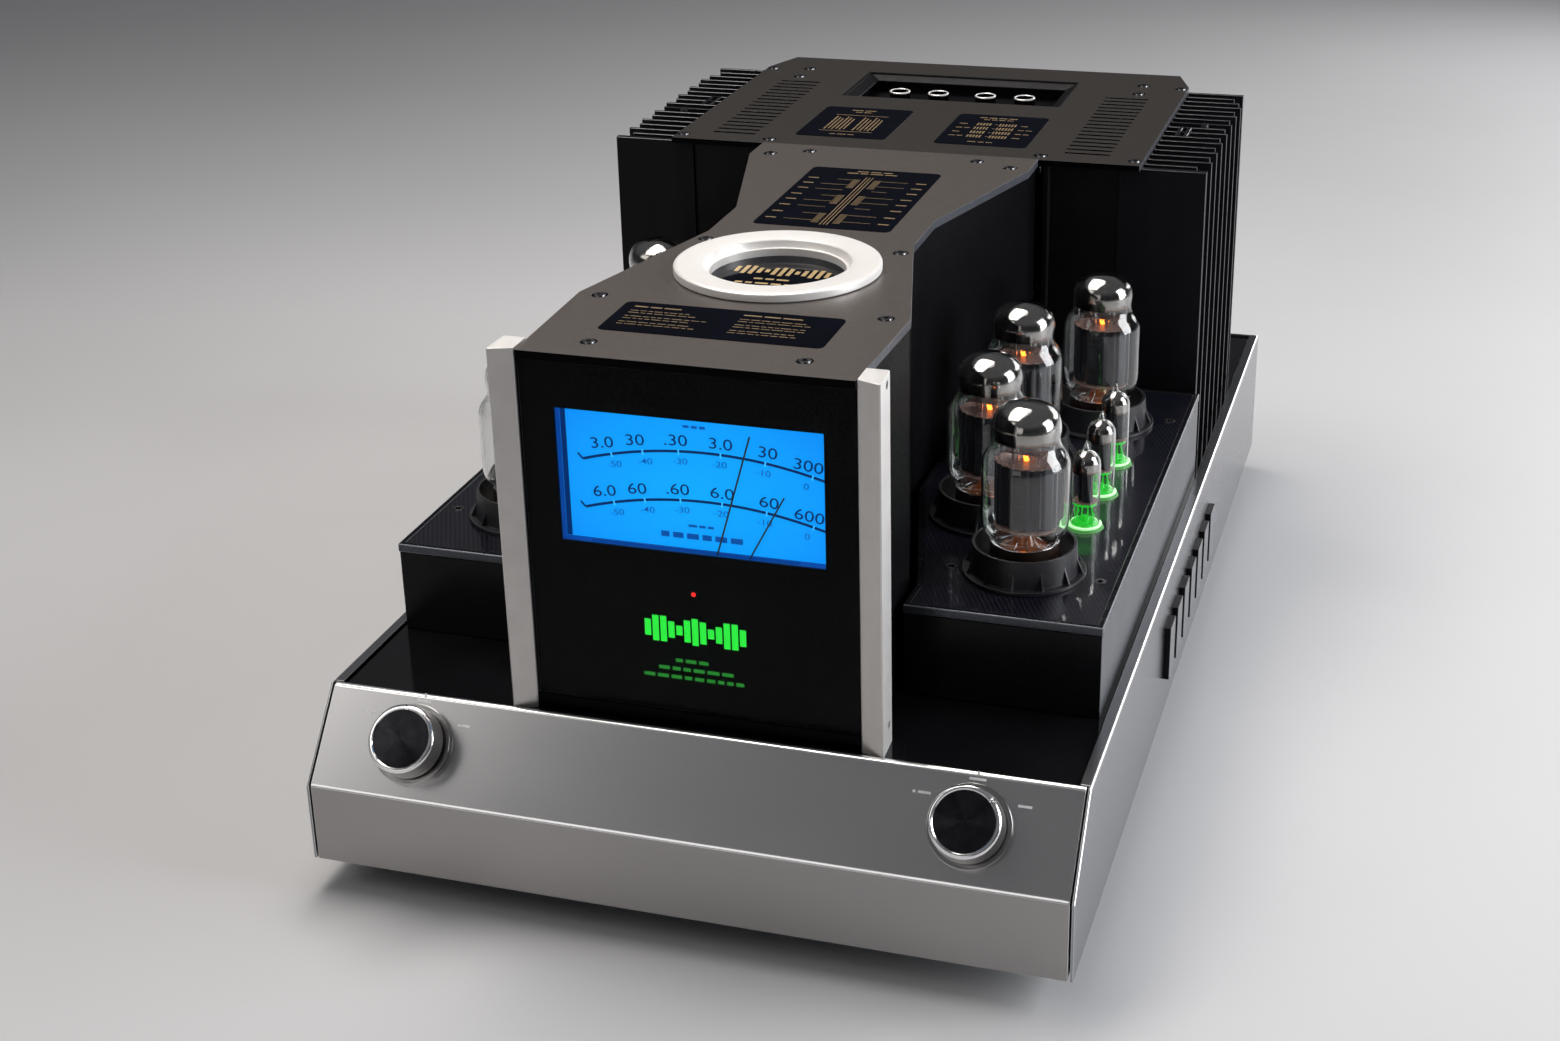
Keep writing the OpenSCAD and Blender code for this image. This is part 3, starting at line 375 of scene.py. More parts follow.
def striped_deck_mat():
    """Dark deck with fine slanted stripes under a smooth clear coat."""
    m, t, sh, out = material("ribbed_deck")
    across = (0.902, 0.431, 0)
    pitch = 0.0027
    along = calc(t, "ShaderNodeVectorMath", "DOT_PRODUCT", position(t), across)["Value"]
    turn = calc(t, "ShaderNodeMath", "MULTIPLY", along, 2 * math.pi / pitch)[0]
    line = remap(t, calc(t, "ShaderNodeMath", "SINE", turn)[0], 0.0, 1.0, -0.8, 0.8)
    cloud = remap(t, noise(t, coords(t), 18.0), 0.7, 1.0)
    tint = calc(t, "ShaderNodeMath", "MULTIPLY", line, cloud)[0]
    t.links.new(ramp(t, tint, [(0.0, (0.002, 0.002, 0.004)), (1.0, (0.012, 0.012, 0.024))]),
                sh.inputs["Base Color"])
    t.links.new(remap(t, noise(t, coords(t), 120.0), 0.28, 0.4), sh.inputs["Roughness"])
    bump(t, sh, line, 0.15, 0.0002)
    for socket, value in (("Metallic", 0.2), ("Specular IOR Level", 0.15), ("Coat Weight", 0.8),
                          ("Coat Roughness", 0.02), ("Coat IOR", 1.55)):
        sh.inputs[socket].default_value = value
    return m


M["glass"] = glass_mat("clear_glass", (0.97, 0.98, 0.98))
M["front_glass"] = glass_mat("dark_glass", (0.97, 0.98, 0.99), 0.003, 1.1)
M["getter"] = getter_mat("getter_flash", P(0, 0, DECK_Z + 84.0).z, 0.004)
M["getter_small"] = getter_mat("small_getter_flash", P(0, 0, DECK_Z + 36.5).z, 0.003)
M["dial"] = dial_mat()
M["spun"] = spun_mat()
M["rib"] = striped_deck_mat()

NODE_MAT = {
    "base_pan": "pan_black", "fascia": "steel", "side_panels": "steel_side", "base_lid": "gloss_black",
    "feet": "rubber", "side_badges": "satin_black", "deck_bodies": "deck_black",
    "deck_trims": "trim_dark", "deck_plates": "rib", "tube_collars": "collar",
    "tube_sockets": "ceramic", "tube_bases": "phenolic", "tube_glass": "glass",
    "tube_anodes": "anode", "tube_micas": "mica", "tube_getters": "chrome",
    "tube_heaters": "ember_low", "small_glass": "glass", "small_anodes": "anode",
    "small_sockets": "green_base", "cage_inserts": "insert", "tower_walls": "crinkle",
    "tower_plate": "taupe", "end_caps": "alu", "front_glass": "front_glass", "front_mask": "mask",
    # the meter frame takes the painted glow of the dial's light
    "emblem_light": "green", "standby_lamp": "red", "meter_frame": "reveal", "meter_scale": "dial",
    "meter_movement": "mould", "needle_long": "needle", "needle_short": "needle",
    "top_ring": "pearl", "ring_window": "info", "info_plates": "info", "rear_plate": "taupe",
    "plate_screws": "screw", "recess_tray": "satin_black", "trim_pots": "mould", "heatsinks": "fin",
    "block_walls": "satin_black", "rear_panel": "satin_black", "speaker_posts": "gold",
    "signal_jacks": "nickel", "mains_inlet": "mould", "mode_knob": "alu", "mode_inlay": "spun",
    "power_knob": "alu", "power_inlay": "spun", "knob_bezels": "bezel", "rotary_switches": "mould",
    "mains_transformer": "core", "output_transformers": "core", "capacitors": "can",
    "circuit_boards": "board", **{f"trim_knob_{i}": "chrome" for i in (1, 2, 3, 4)},
}
for n, o in NODES.items():
    o.data.materials.clear()
    o.data.materials.append(M[NODE_MAT[n]])


# ---------------- mesh helpers
def add_object(name, data):
    o = bpy.data.objects.new(name, data)
    bpy.context.scene.collection.objects.link(o)
    return o


def new_piece(name, bm, mat, body="chassis", smooth=35.0, replaces=None, slot=None, matrix=None):
    """A new object from the bmesh, with its finishes, body and replaced nodes. The slot is not used."""
    me = bpy.data.meshes.new(name)
    bm.to_mesh(me)
    bm.free()
    for m in mat if isinstance(mat, (list, tuple)) else [mat]:
        me.materials.append(M[m])
    o = add_object(name, me)
    if matrix is not None:
        o.matrix_world = matrix
    if smooth:
        even_out(o, smooth)
    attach(o, body)
    if replaces is not None:
        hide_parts(*replaces)
    return o


def apply_mods(o):
    """Turns the object's modifiers into mesh."""
    dg = bpy.context.evaluated_depsgraph_get()
    bpy.context.view_layer.update()
    me = bpy.data.meshes.new_from_object(o.evaluated_get(dg))
    o.modifiers.clear()
    old = o.data
    o.data = me
    me.name = old.name + "_made"


def even_out(o, sharp):
    """Smooth shading in which the large faces keep their own direction."""
    o.data.polygons.foreach_set("use_smooth", [True] * len(o.data.polygons))
    o.data.set_sharp_from_angle(angle=math.radians(sharp))
    w = o.modifiers.new("normals", "WEIGHTED_NORMAL")
    w.keep_sharp = True
    w.weight = 100
    apply_mods(o)


def soften(node, width, segs=2, mats=None, angle=28.0, slot=None, edge_mat=-1, wide=None):
    """The CAD node's own shape with rounded or chamfered edges, as a piece that replaces it.

    wide is (width, segments, test): the edges that pass the test get their own bevel first.
    """
    bm = bmesh.new()
    bm.from_mesh(NODES[node].data)
    bmesh.ops.remove_doubles(bm, verts=bm.verts, dist=WELD)
    bmesh.ops.dissolve_limit(bm, angle_limit=FLAT, verts=bm.verts, edges=bm.edges, delimit={"NORMAL"})
    for f in bm.faces:
        f.material_index = 0
    if wide:
        picked = [e for e in bm.edges if wide[2](*[v.co for v in e.verts])]
        bmesh.ops.bevel(bm, geom=picked, offset=wide[0] / 1000, segments=wide[1], profile=0.5,
                        affect="EDGES", clamp_overlap=True, material=edge_mat)
    o = new_piece(node + "_finished", bm, mats or NODE_MAT[node], smooth=None, replaces=(node,), slot=slot)
    b = o.modifiers.new("edge", "BEVEL")
    b.width = width / 1000
    b.segments = segs
    b.limit_method = "ANGLE"
    b.angle_limit = math.radians(angle)
    b.use_clamp_overlap = True
    b.harden_normals = False
    b.material = edge_mat
    apply_mods(o)
    even_out(o, 40)
    return o


def paint(piece, index, test):
    """Gives material slot `index` to the piece's faces that pass the test."""
    for f in piece.data.polygons:
        if test(f):
            f.material_index = index


def outward(bm):
    """Turns every face's normal to the outside."""
    bmesh.ops.recalc_face_normals(bm, faces=bm.faces)


def skin(bm, a, b):
    """Quads between two closed rings of vertices."""
    for i in range(len(a)):
        j = (i + 1) % len(a)
        bm.faces.new([a[i], a[j], b[j], b[i]])


def prism(bm, low, high):
    """Solid between two outlines with the same number of points."""
    a = [bm.verts.new(p) for p in low]
    b = [bm.verts.new(p) for p in high]
    bm.faces.new(b)
    bm.faces.new(a[::-1])
    skin(bm, a, b)


def lathe(bm, profile, at, segs, closed=False):
    """Turns [(radius, height)] in millimetres about a vertical axis through `at`."""
    angles = [2 * math.pi * i / segs for i in range(segs)]
    rings = [[bm.verts.new(at + Vector((r * math.cos(a), r * math.sin(a), z)) / 1000)
              for a in (angles if r > 1e-6 else angles[:1])] for r, z in profile]
    for a, b in zip(rings, rings[1:] + (rings[:1] if closed else [])):
        for i in range(segs):
            j = (i + 1) % segs
            q = [a[i % len(a)], a[j % len(a)], b[j % len(b)], b[i % len(b)]]
            q = [v for k, v in enumerate(q) if v not in q[:k]]
            if len(q) > 2:
                bm.faces.new(q)
    return [v for ring in rings for v in ring]


def smooth_profile(points, steps):
    """Catmull-Rom through the profile's points."""
    out = []
    for i in range(len(points) - 1):
        p0 = points[max(i - 1, 0)]
        p1, p2 = points[i], points[i + 1]
        p3 = points[min(i + 2, len(points) - 1)]
        for s in range(steps):
            u = s / steps
            out.append(tuple(0.5 * (2 * p1[k] + (p2[k] - p0[k]) * u
                                    + (2 * p0[k] - 5 * p1[k] + 4 * p2[k] - p3[k]) * u * u
                                    + (3 * p1[k] - p0[k] - 3 * p2[k] + p3[k]) * u ** 3)
                             for k in (0, 1)))
    out.append(points[-1])
    return [(max(0.0, r), z) for r, z in out]


def bevel_all(bm, width, angle):
    """Rounds every edge whose faces meet at more than the angle."""
    es = [e for e in bm.edges if len(e.link_faces) == 2 and e.calc_face_angle(0) > math.radians(angle)]
    bmesh.ops.bevel(bm, geom=es, offset=width / 1000, segments=2, profile=0.5, affect="EDGES",
                    clamp_overlap=True)


# ---------------- base
SLANT_A = math.atan2(BASE_H - LIP_H, SLANT_D)
SLANT_L = math.hypot(SLANT_D, BASE_H - LIP_H)
KNOB_UP = SLANT_L * 0.52  # from the lower fold to the knobs' axes
KNOB_X = 162


def on_slant(x):
    """Matrix of the local frame on the slanted fascia: z leaves the metal, y climbs."""
    p = P(x, KNOB_UP * math.cos(SLANT_A), LIP_H + KNOB_UP * math.sin(SLANT_A))
    return Matrix.Translation(p) @ Matrix.Rotation(SLANT_A, 4, "X")


FOLD_LOW, FOLD_HIGH = P(0, 0, LIP_H), P(0, SLANT_D, BASE_H)
NEAR = 3e-5


def on_folds(a, b):
    """True for the fascia's two outer folds."""
    return any(math.hypot(a.y - c.y, a.z - c.z) < NEAR and math.hypot(b.y - c.y, b.z - c.z) < NEAR
               for c in (FOLD_LOW, FOLD_HIGH))


def on_side_rim(a, b):
    """True for the side panels' outer edges along the top and the slant."""
    outside = min(abs(a.x), abs(b.x)) > SIDE_HI.x - NEAR
    along_top = min(a.z, b.z) > FOLD_HIGH.z - NEAR
    sloping = abs(a.y - b.y) > 0.01 and abs(a.z - b.z) > 0.01
    return outside and (along_top or sloping)


# The fascia's two outer folds take the near-white fold steel as a painted highlight.
fascia = soften("fascia", 0.4, mats=["steel", "fold", "steel_front"], edge_mat=1,
                slot="polished_steel", wide=(1.6, 4, on_folds))
# Faces of the lip that look straight ahead take the steel painted darker as painted shade.
paint(fascia, 2, lambda f: f.normal.y < -0.99)
# The side panels take the steel painted darker as painted shade, and their outer rims the painted fold
# highlight.
soften("side_panels", 0.5, mats=["steel_side", "fold"], edge_mat=1, slot="polished_steel",
       wide=(1.4, 4, on_side_rim))
soften("base_lid", 0.5, slot="gloss_black")
soften("base_pan", 0.4, segs=1, slot="base_pan")
soften("feet", 1.4, segs=3, slot="rubber")


# ---------------- tower and rear block
def outline_of(top, half, front, back):
    """Test for the upper edges round a top plate with the given half width, front and back."""
    z, y0, y1 = P(0, 0, top).z - NEAR, P(0, front, 0).y, P(0, back, 0).y
    return lambda *ends: all(v.z > z and (abs(v.x) > half / 1000 or v.y < y0 or v.y > y1) for v in ends)


def upright(f):
    return abs(f.normal.z) < 0.3


def beyond(f, reach):
    """True for a face that looks to the side and lies farther out than the reach."""
    return abs(f.normal.x) > 0.9 and abs(f.center.x) > reach


# The rear plate takes the taupe painted darker as painted shade.
for node, face, outline, lip in (
        ("tower_plate", "taupe", outline_of(TOWER_Z, *TOWER_TOP), lambda f: f.normal.y < -0.9),
        ("rear_plate", "taupe_rear", outline_of(REAR_Z, *REAR_TOP), lambda f: abs(f.center.x) < REAR_LIP)):
    plate = soften(node, 0.4, segs=1, mats=[face, "edge_blue", "mask"], edge_mat=1, angle=50,
                   slot="taupe_plate", wide=(1.2, 1, outline))
    paint(plate, 1, upright)
    paint(plate, 2, lambda f: upright(f) and lip(f))
soften("tower_walls", 0.5, slot="crinkle_black")
caps = soften("end_caps", 0.5, mats=["alu", "alu_side"], slot="satin_alu")
# The caps' tops and outer sides take the aluminium painted lighter as painted light.
paint(caps, 1, lambda f: f.normal.z > 0.9 or beyond(f, CAP_SIDE))
# The trims' bevels take a painted highlight.
trims = soften("deck_trims", 0.7, mats=["trim_dark", "edge_highlight", "deck_black"], edge_mat=1,
               slot="blue_grey")
paint(trims, 2, lambda f: abs(f.center.x) < TRIM_INNER and f.center.y > P(0, 122, 0).y)


def on_fins(a, b):
    """True for the fins' long edges that the top plate leaves bare."""
    bare = min(abs(a.x), abs(b.x)) > FIN_BARE and max(a.z, b.z) > P(0, 0, 300).z
    return bare and (a - b).length > 0.006


# The fins' bevels take a painted highlight.
soften("heatsinks", 0.3, segs=1, mats=["fin", "fin_edge"], edge_mat=1, slot="heatsink_black",
       wide=(0.4, 1, on_fins))
soften("block_walls", 0.5, slot="crinkle_black")
soften("plate_screws", 0.25, slot="screw_black")
soften("recess_tray", 0.5, slot="satin_black")
soften("cage_inserts", 0.3, slot="chrome")
soften("rear_panel", 0.4, segs=1, slot="satin_black")
soften("speaker_posts", 0.6, slot="gold")
soften("signal_jacks", 0.5, slot="nickel")
soften("mains_inlet", 0.6, slot="moulding_black")

# ---------------- power valves
VALVE_Z = DECK_Z + 1.0
GLASS_OUT = [(18.2, 12.6), (18.2, 19.2), (19.7, 20.9), (22.4, 23.0), (24.5, 26.8), (25.4, 33),
             (25.4, 48), (25.4, 64), (24.8, 68.6), (22.9, 72.6), (20.7, 75.9), (19.5, 79.5),
             (19.5, 83), (19.9, 87), (19.5, 91.5), (17.8, 95.8), (14.0, 99.4), (8.0, 102.0), (0, 102.9)]


def both_sides(places):
    """The places and their mirror images in the centre plane."""
    return [(s * x, y) for s in (-1, 1) for x, y in places]


def shell_profile(outer, wall):
    """Closed profile of a blown glass shell: the outside up to the tip, then the inside down."""
    out = smooth_profile(outer, 3)
    tip = out[-1][1]
    inner = [(max(0.0, r - wall), z if z < tip - 8 else z - wall * 1.2 * min(1, (z - tip + 8) / 6))
             for r, z in out[:-1]]
    return out + [(0, tip - wall * 1.3)] + [(r, z) for r, z in reversed(inner) if r > 0.3]


def turned(name, profile, places, z0, mat, segs=56, closed=True, smooth=35.0, **kw):
    """One piece that repeats a turned shape at each place, from the height z0 up."""
    bm = bmesh.new()
    for x, y in places:
        lathe(bm, profile, P(x, y, z0), segs, closed=closed)
    outward(bm)
    new_piece(name, bm, mat, smooth=smooth, **kw)


def slab(bm, outline, z0, z1, at, turn=0.0):
    """Flat plate with the given outline in millimetres, between two heights."""
    m = Matrix.Translation(at) @ Matrix.Rotation(math.radians(turn), 4, "Z")
    prism(bm, *[[m @ (Vector((x, y, z)) / 1000) for x, y in outline] for z in (z0, z1)])


def rod(bm, points, r, sides=8):
    """Round wire through points in row-frame metres."""
    pts = [Vector(p) for p in points]
    rings = []
    for i, p in enumerate(pts):
        d = (pts[min(i + 1, len(pts) - 1)] - pts[max(i - 1, 0)]).normalized()
        side = d.orthogonal().normalized()
        up = d.cross(side)
        rings.append([bm.verts.new(p + (side * math.cos(2 * math.pi * k / sides)
                                        + up * math.sin(2 * math.pi * k / sides)) * r / 1000)
                      for k in range(sides)])
    for a, b in zip(rings, rings[1:]):
        near = min(range(sides), key=lambda s: (a[0].co - b[s].co).length)
        skin(bm, a, b[near:] + b[:near])
    bm.faces.new(rings[0][::-1])
    bm.faces.new(rings[-1])


def radial(at, degrees, path):
    """Points at the path's radii and heights, all in one direction from the axis through `at`."""
    a = math.radians(degrees)
    return [at + Vector((math.cos(a) * r, math.sin(a) * r, z)) / 1000 for r, z in path]


BIG = both_sides(VALVES)
SMALL = both_sides(SMALLS)

turned("valve_envelopes", shell_profile(GLASS_OUT, 0.9), BIG, VALVE_Z + 0.2, "glass",
       replaces=("tube_glass",), slot="clear_glass")

dome = [(r - 1.25, z - (0 if z < 90 else 1.1)) for r, z in smooth_profile(GLASS_OUT, 4) if z > 79.6]
dome[-1] = (0, dome[-1][1])
lining = dome + [(max(0.0, r - 0.15), z - 0.15) for r, z in reversed(dome)]
turned("valve_getters", lining, BIG, VALVE_Z + 0.2, "getter", replaces=("tube_getters",),
       slot="getter_chrome")

PLATE = [(17.2, -3.2), (17.2, 3.2), (14.6, 7.4), (6.8, 8.2), (5.6, 11.6), (-5.6, 11.6), (-6.8, 8.2),
         (-14.6, 7.4), (-17.2, 3.2), (-17.2, -3.2), (-14.6, -7.4), (-6.8, -8.2), (-5.6, -11.6),
         (5.6, -11.6), (6.8, -8.2), (14.6, -7.4)]
# anode boxes with edge flanges, end fins and a column of ribs on each face
bm = bmesh.new()
for i, (x, y) in enumerate(BIG):
    turn = -14 + 5 * ((i * 7) % 3)
    at = P(x, y, VALVE_Z)
    slab(bm, PLATE, 28.6, 66.2, at, turn)
    for s in (-1, 1):
        for u in (-11.6, 11.6):
            slab(bm, [(u - 0.9, s * 7.4), (u + 0.9, s * 7.4), (u + 0.5, s * 9.1), (u - 0.5, s * 9.1)][::s],
                 30.5, 64.5, at, turn)
        slab(bm, [(s * 17.0, -1.2), (s * 19.0, -0.9), (s * 19.0, 0.9), (s * 17.0, 1.2)][::s],
             28.6, 66.2, at, turn)
        for k in range(5):
            z = 33.5 + k * 6.9
            slab(bm, [(-3.2, s * 11.3), (3.2, s * 11.3), (2.6, s * 12.0), (-2.6, s * 12.0)][::s],
                 z, z + 3.0, at, turn)
outward(bm)
bevel_all(bm, 0.35, 25)
new_piece("valve_plates", bm, "anode", replaces=("tube_anodes",), slot="anode_grey")


def toothed(inner, outer, count, squash=1.0):
    """Outline of a mica disc with small teeth round its rim."""
    reach = [(outer if k % 2 else inner, 2 * math.pi * k / count) for k in range(count)]
    return [(r * math.cos(a), r * squash * math.sin(a)) for r, a in reach]


# toothed spacers under and over each anode, and a bar across the leads
bm = bmesh.new()
for x, y in BIG:
    for z in (27.2, 66.9):
        slab(bm, toothed(17.7, 18.8, 40, 0.82), z, z + 0.6, P(x, y, VALVE_Z), -10)
    slab(bm, [(12, -5), (12, 5), (-12, 5), (-12, -5)], 72.6, 73.1, P(x, y, VALVE_Z), -10)
new_piece("valve_micas", bm, "mica", smooth=None, replaces=("tube_micas",), slot="mica")

# leads over the anode, getter supports and the wires that fan out from the stem
bm = bmesh.new()
for x, y in BIG:
    at = P(x, y, VALVE_Z)
    for u, v in ((-7.5, 0), (7.5, 0), (-4, -3.4), (4, 3.4)):
        rod(bm, [at + Vector((u, v, 67.4)) / 1000, at + Vector((u, v, 76.5)) / 1000], 0.75)
    for u in (-15.6, 15.6):
        rod(bm, [at + Vector((u, 0, z)) / 1000 for z in (67.4, 78, 84, 89)], 0.45)
    for k in range(8):
        path = [(10.5, 12.6), (10.2, 16), (6.4, 19.5), (6.2, 22.5), (9.5, 25.5), (10.5, 27.3)]
        rod(bm, radial(at, k * 45 + 22.5, path), 0.5, 6)
new_piece("valve_wires", bm, "nickel", slot="getter_chrome")

# glass stems, dark amber with a faint painted glow of the heaters' light
turned("valve_stems", smooth_profile([(0, 12.6), (13.5, 12.6), (12.6, 14.2), (7.6, 16.2), (6.0, 19.5),
                                      (4.2, 23.4), (0, 24)], 3),
       BIG, VALVE_Z, "amber", 40, False, slot="valve_base")

# glowing heater ends
bm = bmesh.new()
for x, y in BIG:
    at = P(x, y, VALVE_Z)
    for u in (-0.9, 0.9):
        loop = [at + Vector((u + 0.6 * math.sin(t * 1.9), 0.6 * math.cos(t * 2.3), 67.5 + t * 0.95)) / 1000
                for t in range(6)]
        rod(bm, loop, 0.55)
    lathe(bm, [(0, 67.5), (1.3, 67.5), (1.3, 69.6), (0, 69.6)], at, 20)
outward(bm)
new_piece("valve_heaters", bm, "ember", replaces=("tube_heaters",), slot="heater_glow")
turned("valve_cathodes", [(0, 24.2), (2.2, 24.2), (2.2, 28.4), (0, 28.4)], BIG, VALVE_Z, "ember_low",
       20, False, slot="heater_glow")

bases = soften("tube_bases", 0.5, mats=["phenolic", "rim"], slot="valve_base")
paint(bases, 1, lambda f: f.center.z > P(0, 0, VALVE_Z + 17.4).z)
soften("tube_collars", 0.4, slot="collar_black")

# ---------------- small valves
SMALL_OUT = [(8.9, 0), (9.0, 3), (9.0, 20), (9.0, 38), (8.5, 41.6), (7.0, 44.8), (4.4, 46.9), (2.2, 48.0),
             (1.7, 50.0), (1.0, 52.6), (0, 53.8)]
turned("small_valve_envelopes", shell_profile(SMALL_OUT, 0.7), SMALL, DECK_Z + 1.2, "glass", 40,
       replaces=("small_glass",), slot="clear_glass")
cap = [(max(0.0, r - 1.0), z - (0.9 if z > 44 else 0)) for r, z in smooth_profile(SMALL_OUT, 4)
       if 33 < z < 48.2]
cap.append((0, cap[-1][1] + 0.3))
turned("small_valve_getters", cap + [(max(0.0, r - 0.15), z - 0.15) for r, z in reversed(cap)], SMALL,
       DECK_Z + 1.2, "getter_small", 40, slot="getter_chrome")
bm = bmesh.new()
for i, (x, y) in enumerate(SMALL):
    at = P(x, y, DECK_Z)
    turn = 20 + 35 * i
    for s in (-1, 1):
        half = [(s * (3.4 + 2.6 * math.cos(a)), 3.1 * math.sin(a))
                for a in [math.pi * k / 10 - math.pi / 2 for k in range(11)]]
        slab(bm, (half + [(s * 0.7, 3.1), (s * 0.7, -3.1)])[::s], 17.5, 35, at, turn)
    for u, v in ((-6.6, 0), (6.6, 0), (0, -3.8), (0, 3.8)):
        c, s = math.cos(math.radians(turn)), math.sin(math.radians(turn))
        p = Vector((u * c - v * s, u * s + v * c, 0)) / 1000
        rod(bm, [at + p + Vector((0, 0, z)) / 1000 for z in (14.5, 39)], 0.4, 6)
outward(bm)
new_piece("small_valve_plates", bm, "anode", replaces=("small_anodes",), slot="anode_grey")
bm = bmesh.new()
for x, y in SMALL:
    for z in (16.4, 35.6, 38.4):
        slab(bm, toothed(7.1, 7.7, 28), z, z + 0.4, P(x, y, DECK_Z))
new_piece("small_valve_micas", bm, "mica", smooth=None, slot="mica")
bm = bmesh.new()
for x, y in SMALL:
    at = P(x, y, DECK_Z)
    for k in range(9):
        path = [(5.6, 2.4), (5.7, 6.5), (4.2 + (k % 3), 10.5), (5.4, 16.2)]
        rod(bm, radial(at, k * 36 + 10, path), 0.34, 6)
    lathe(bm, [(0, 14.8), (7.2, 14.8), (7.2, 15.1), (0, 15.1)], at, 28)
outward(bm)
new_piece("small_valve_glow", bm, "green_glow", slot="white_socket")
BUTTON = [(0, 1.4), (7.9, 1.4), (7.9, 2.6), (6.8, 3.6), (3.0, 3.8), (2.4, 6.5), (0, 7)]
turned("small_valve_buttons", BUTTON, SMALL, DECK_Z, "green_low", 28, False, slot="white_socket")
SOCKET_RING = [(9.0, 0.9), (9.9, 0.9), (10.3, 1.3), (10.3, 1.9), (9.8, 2.3), (9.15, 2.3)]
turned("small_valve_rings", SOCKET_RING, SMALL, DECK_Z, "green_ring", 40, slot="white_socket")
soften("small_sockets", 0.3, slot="white_socket")
soften("tube_sockets", 0.5, slot="ceramic")


# ---------------- printed and lit line work
def ink(name, rects, place, mat, slot, thick=0.05):
    """Thin printed rectangles; place maps (u, v, w) in millimetres to the row frame."""
    bm = bmesh.new()
    for u0, v0, u1, v1 in rects:
        corners = ((u0, v0), (u1, v0), (u1, v1), (u0, v1))
        prism(bm, *[[place(u, v, w) for u, v in corners] for w in (0, thick)])
    outward(bm)
    new_piece(name, bm, mat, smooth=None, slot=slot)


# strips that close the gap between the rear side walls and the heatsinks
ink("block_corner_strips", [(x, 94.6, x + 7.8, 303.6) for x in (-159.9, 152.1)],
    lambda u, v, w: P(u, 702.8 - w, v), "satin_black", "satin_black", 1.8)

rng = random.Random(7)


def dashes(x0, x1, y, h, gap, words):
    """One row of printed dashes; words gives their shortest and longest length."""
    out = []
    x = x0
    while x < x1 - words[0]:
        w = min(rng.uniform(*words), x1 - x)
        out.append((x, y, x + w, y + h))
        x += w + gap
    return out


def on_top(z):
    """Places print on a level face at the height z."""
    return lambda u, v, w: P(u, v, z + 0.01 + w)


front_rows = []
for x0 in (-57, 7):
    front_rows += dashes(x0, x0 + 34, 126.8, 1.5, 1.4, (6, 12))
    for drop in (0, 3.6, 9.2, 12.8, 18.4, 22.0):
        front_rows += dashes(x0, x0 + rng.uniform(36, 48), 120.6 - drop, 0.7, 1.0, (2.2, 7.0))
ink("front_info_print", front_rows, on_top(TOWER_Z + 0.3), "goldline", "info_glass")

plan = dashes(-12, 12, 419.5, 1.8, 1.5, (5, 9)) + dashes(-18, 18, 415.0, 1.8, 1.5, (5, 9))
plan += [(x - 0.3, 300, x + 0.3, 408) for x in (-2.2, 0, 2.2)]


def mirrored(s, near, far, y0, y1):
    """A rectangle between two distances from the centre line, on the side s."""
    return min(s * near, s * far), y0, max(s * near, s * far), y1


for k, y in enumerate((400, 388, 376, 362, 350, 337, 322, 308)):
    for s in (-1, 1):
        reach = 28 if (k + (s > 0)) % 3 else 20
        plan += [mirrored(s, 9.6, reach, y, y + 0.5), mirrored(s, 33, 40, y - 0.5, y + 1.2)]
for y in (382, 345, 304):
    for s in (-1, 1):
        plan += [mirrored(s, 4.6, 9.4, y + j * 2.3, y + j * 2.3 + 0.8) for j in range(9)]
ink("diagram_print", plan, on_top(TOWER_Z + 0.3), "goldline", "info_glass")

left_rows = dashes(-62, -38, 579.5, 1.8, 1.4, (5, 9)) + dashes(-58, -42, 574.5, 1.6, 1.4, (4, 7))
for x0 in (-68, -47):
    left_rows += [(x0 + j * 2.8, 525 + 2 * (j % 2), x0 + j * 2.8 + 1.0, 562 - 3 * (j % 3)) for j in range(6)]
left_rows += [(-70, y, -31, y + 0.8) for y in (521, 566)] + dashes(-60, -40, 512.5, 1.5, 1.4, (4, 8))
right_rows = dashes(34, 66, 579.5, 1.8, 1.4, (5, 9)) + dashes(38, 62, 574.5, 1.6, 1.4, (4, 8))
for k in range(4):
    y = 526 + k * 11.0
    right_rows += dashes(23, 33, y + 2, 1.4, 1.2, (4, 6)) + dashes(68, 78, y + 2, 1.4, 1.2, (4, 6))
    right_rows += [(36 + j * 2.2, y, 37.2 + j * 2.2, y + 6.5) for j in range(5)]
    right_rows += [(52 + j * 2.2, y, 53.2 + j * 2.2, y + 6.5) for j in range(6)]
    right_rows.append((49, y + 3, 51, y + 3.8))
right_rows += dashes(40, 60, 513.5, 1.5, 1.4, (4, 8))
ink("rear_info_print", left_rows + right_rows, on_top(REAR_Z + 0.3), "goldline", "info_glass")

BARS = [(i * 4.6, 1.8 + 6.4 * abs(math.cos(math.radians(i * 40)))) for i in range(-6, 7)]
motif = [(x - 1.3, 219 - 0.95 * h, x + 1.3, 219 + 0.95 * h) for x, h in BARS]
for y, half in ((203, 13), (195, 22), (187, 27)):
    motif += dashes(-half, half, y, 2.4, 1.8, (4, 8))
window_z = (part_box("ring_window")[1].z - SIDE_LO.z) * 1000
ink("ring_print", motif, on_top(window_z), "goldprint", "info_glass")

lines = []
for z, half in ((131.5, 12), (126.2, 22), (121, 31)):
    lines += dashes(-half, half, z, 2.1, 1.7, (3.5, 7))
ink("emblem_lines", lines, lambda u, v, w: P(u, GLASS_BACK_Y - w, v), "green_dim", "green_light")


def on_fascia(x0):
    """Places print on the slanted fascia, round a knob's axis."""
    m = on_slant(x0)
    return lambda u, v, w: m @ (Vector((u, v, w + 0.02)) / 1000)


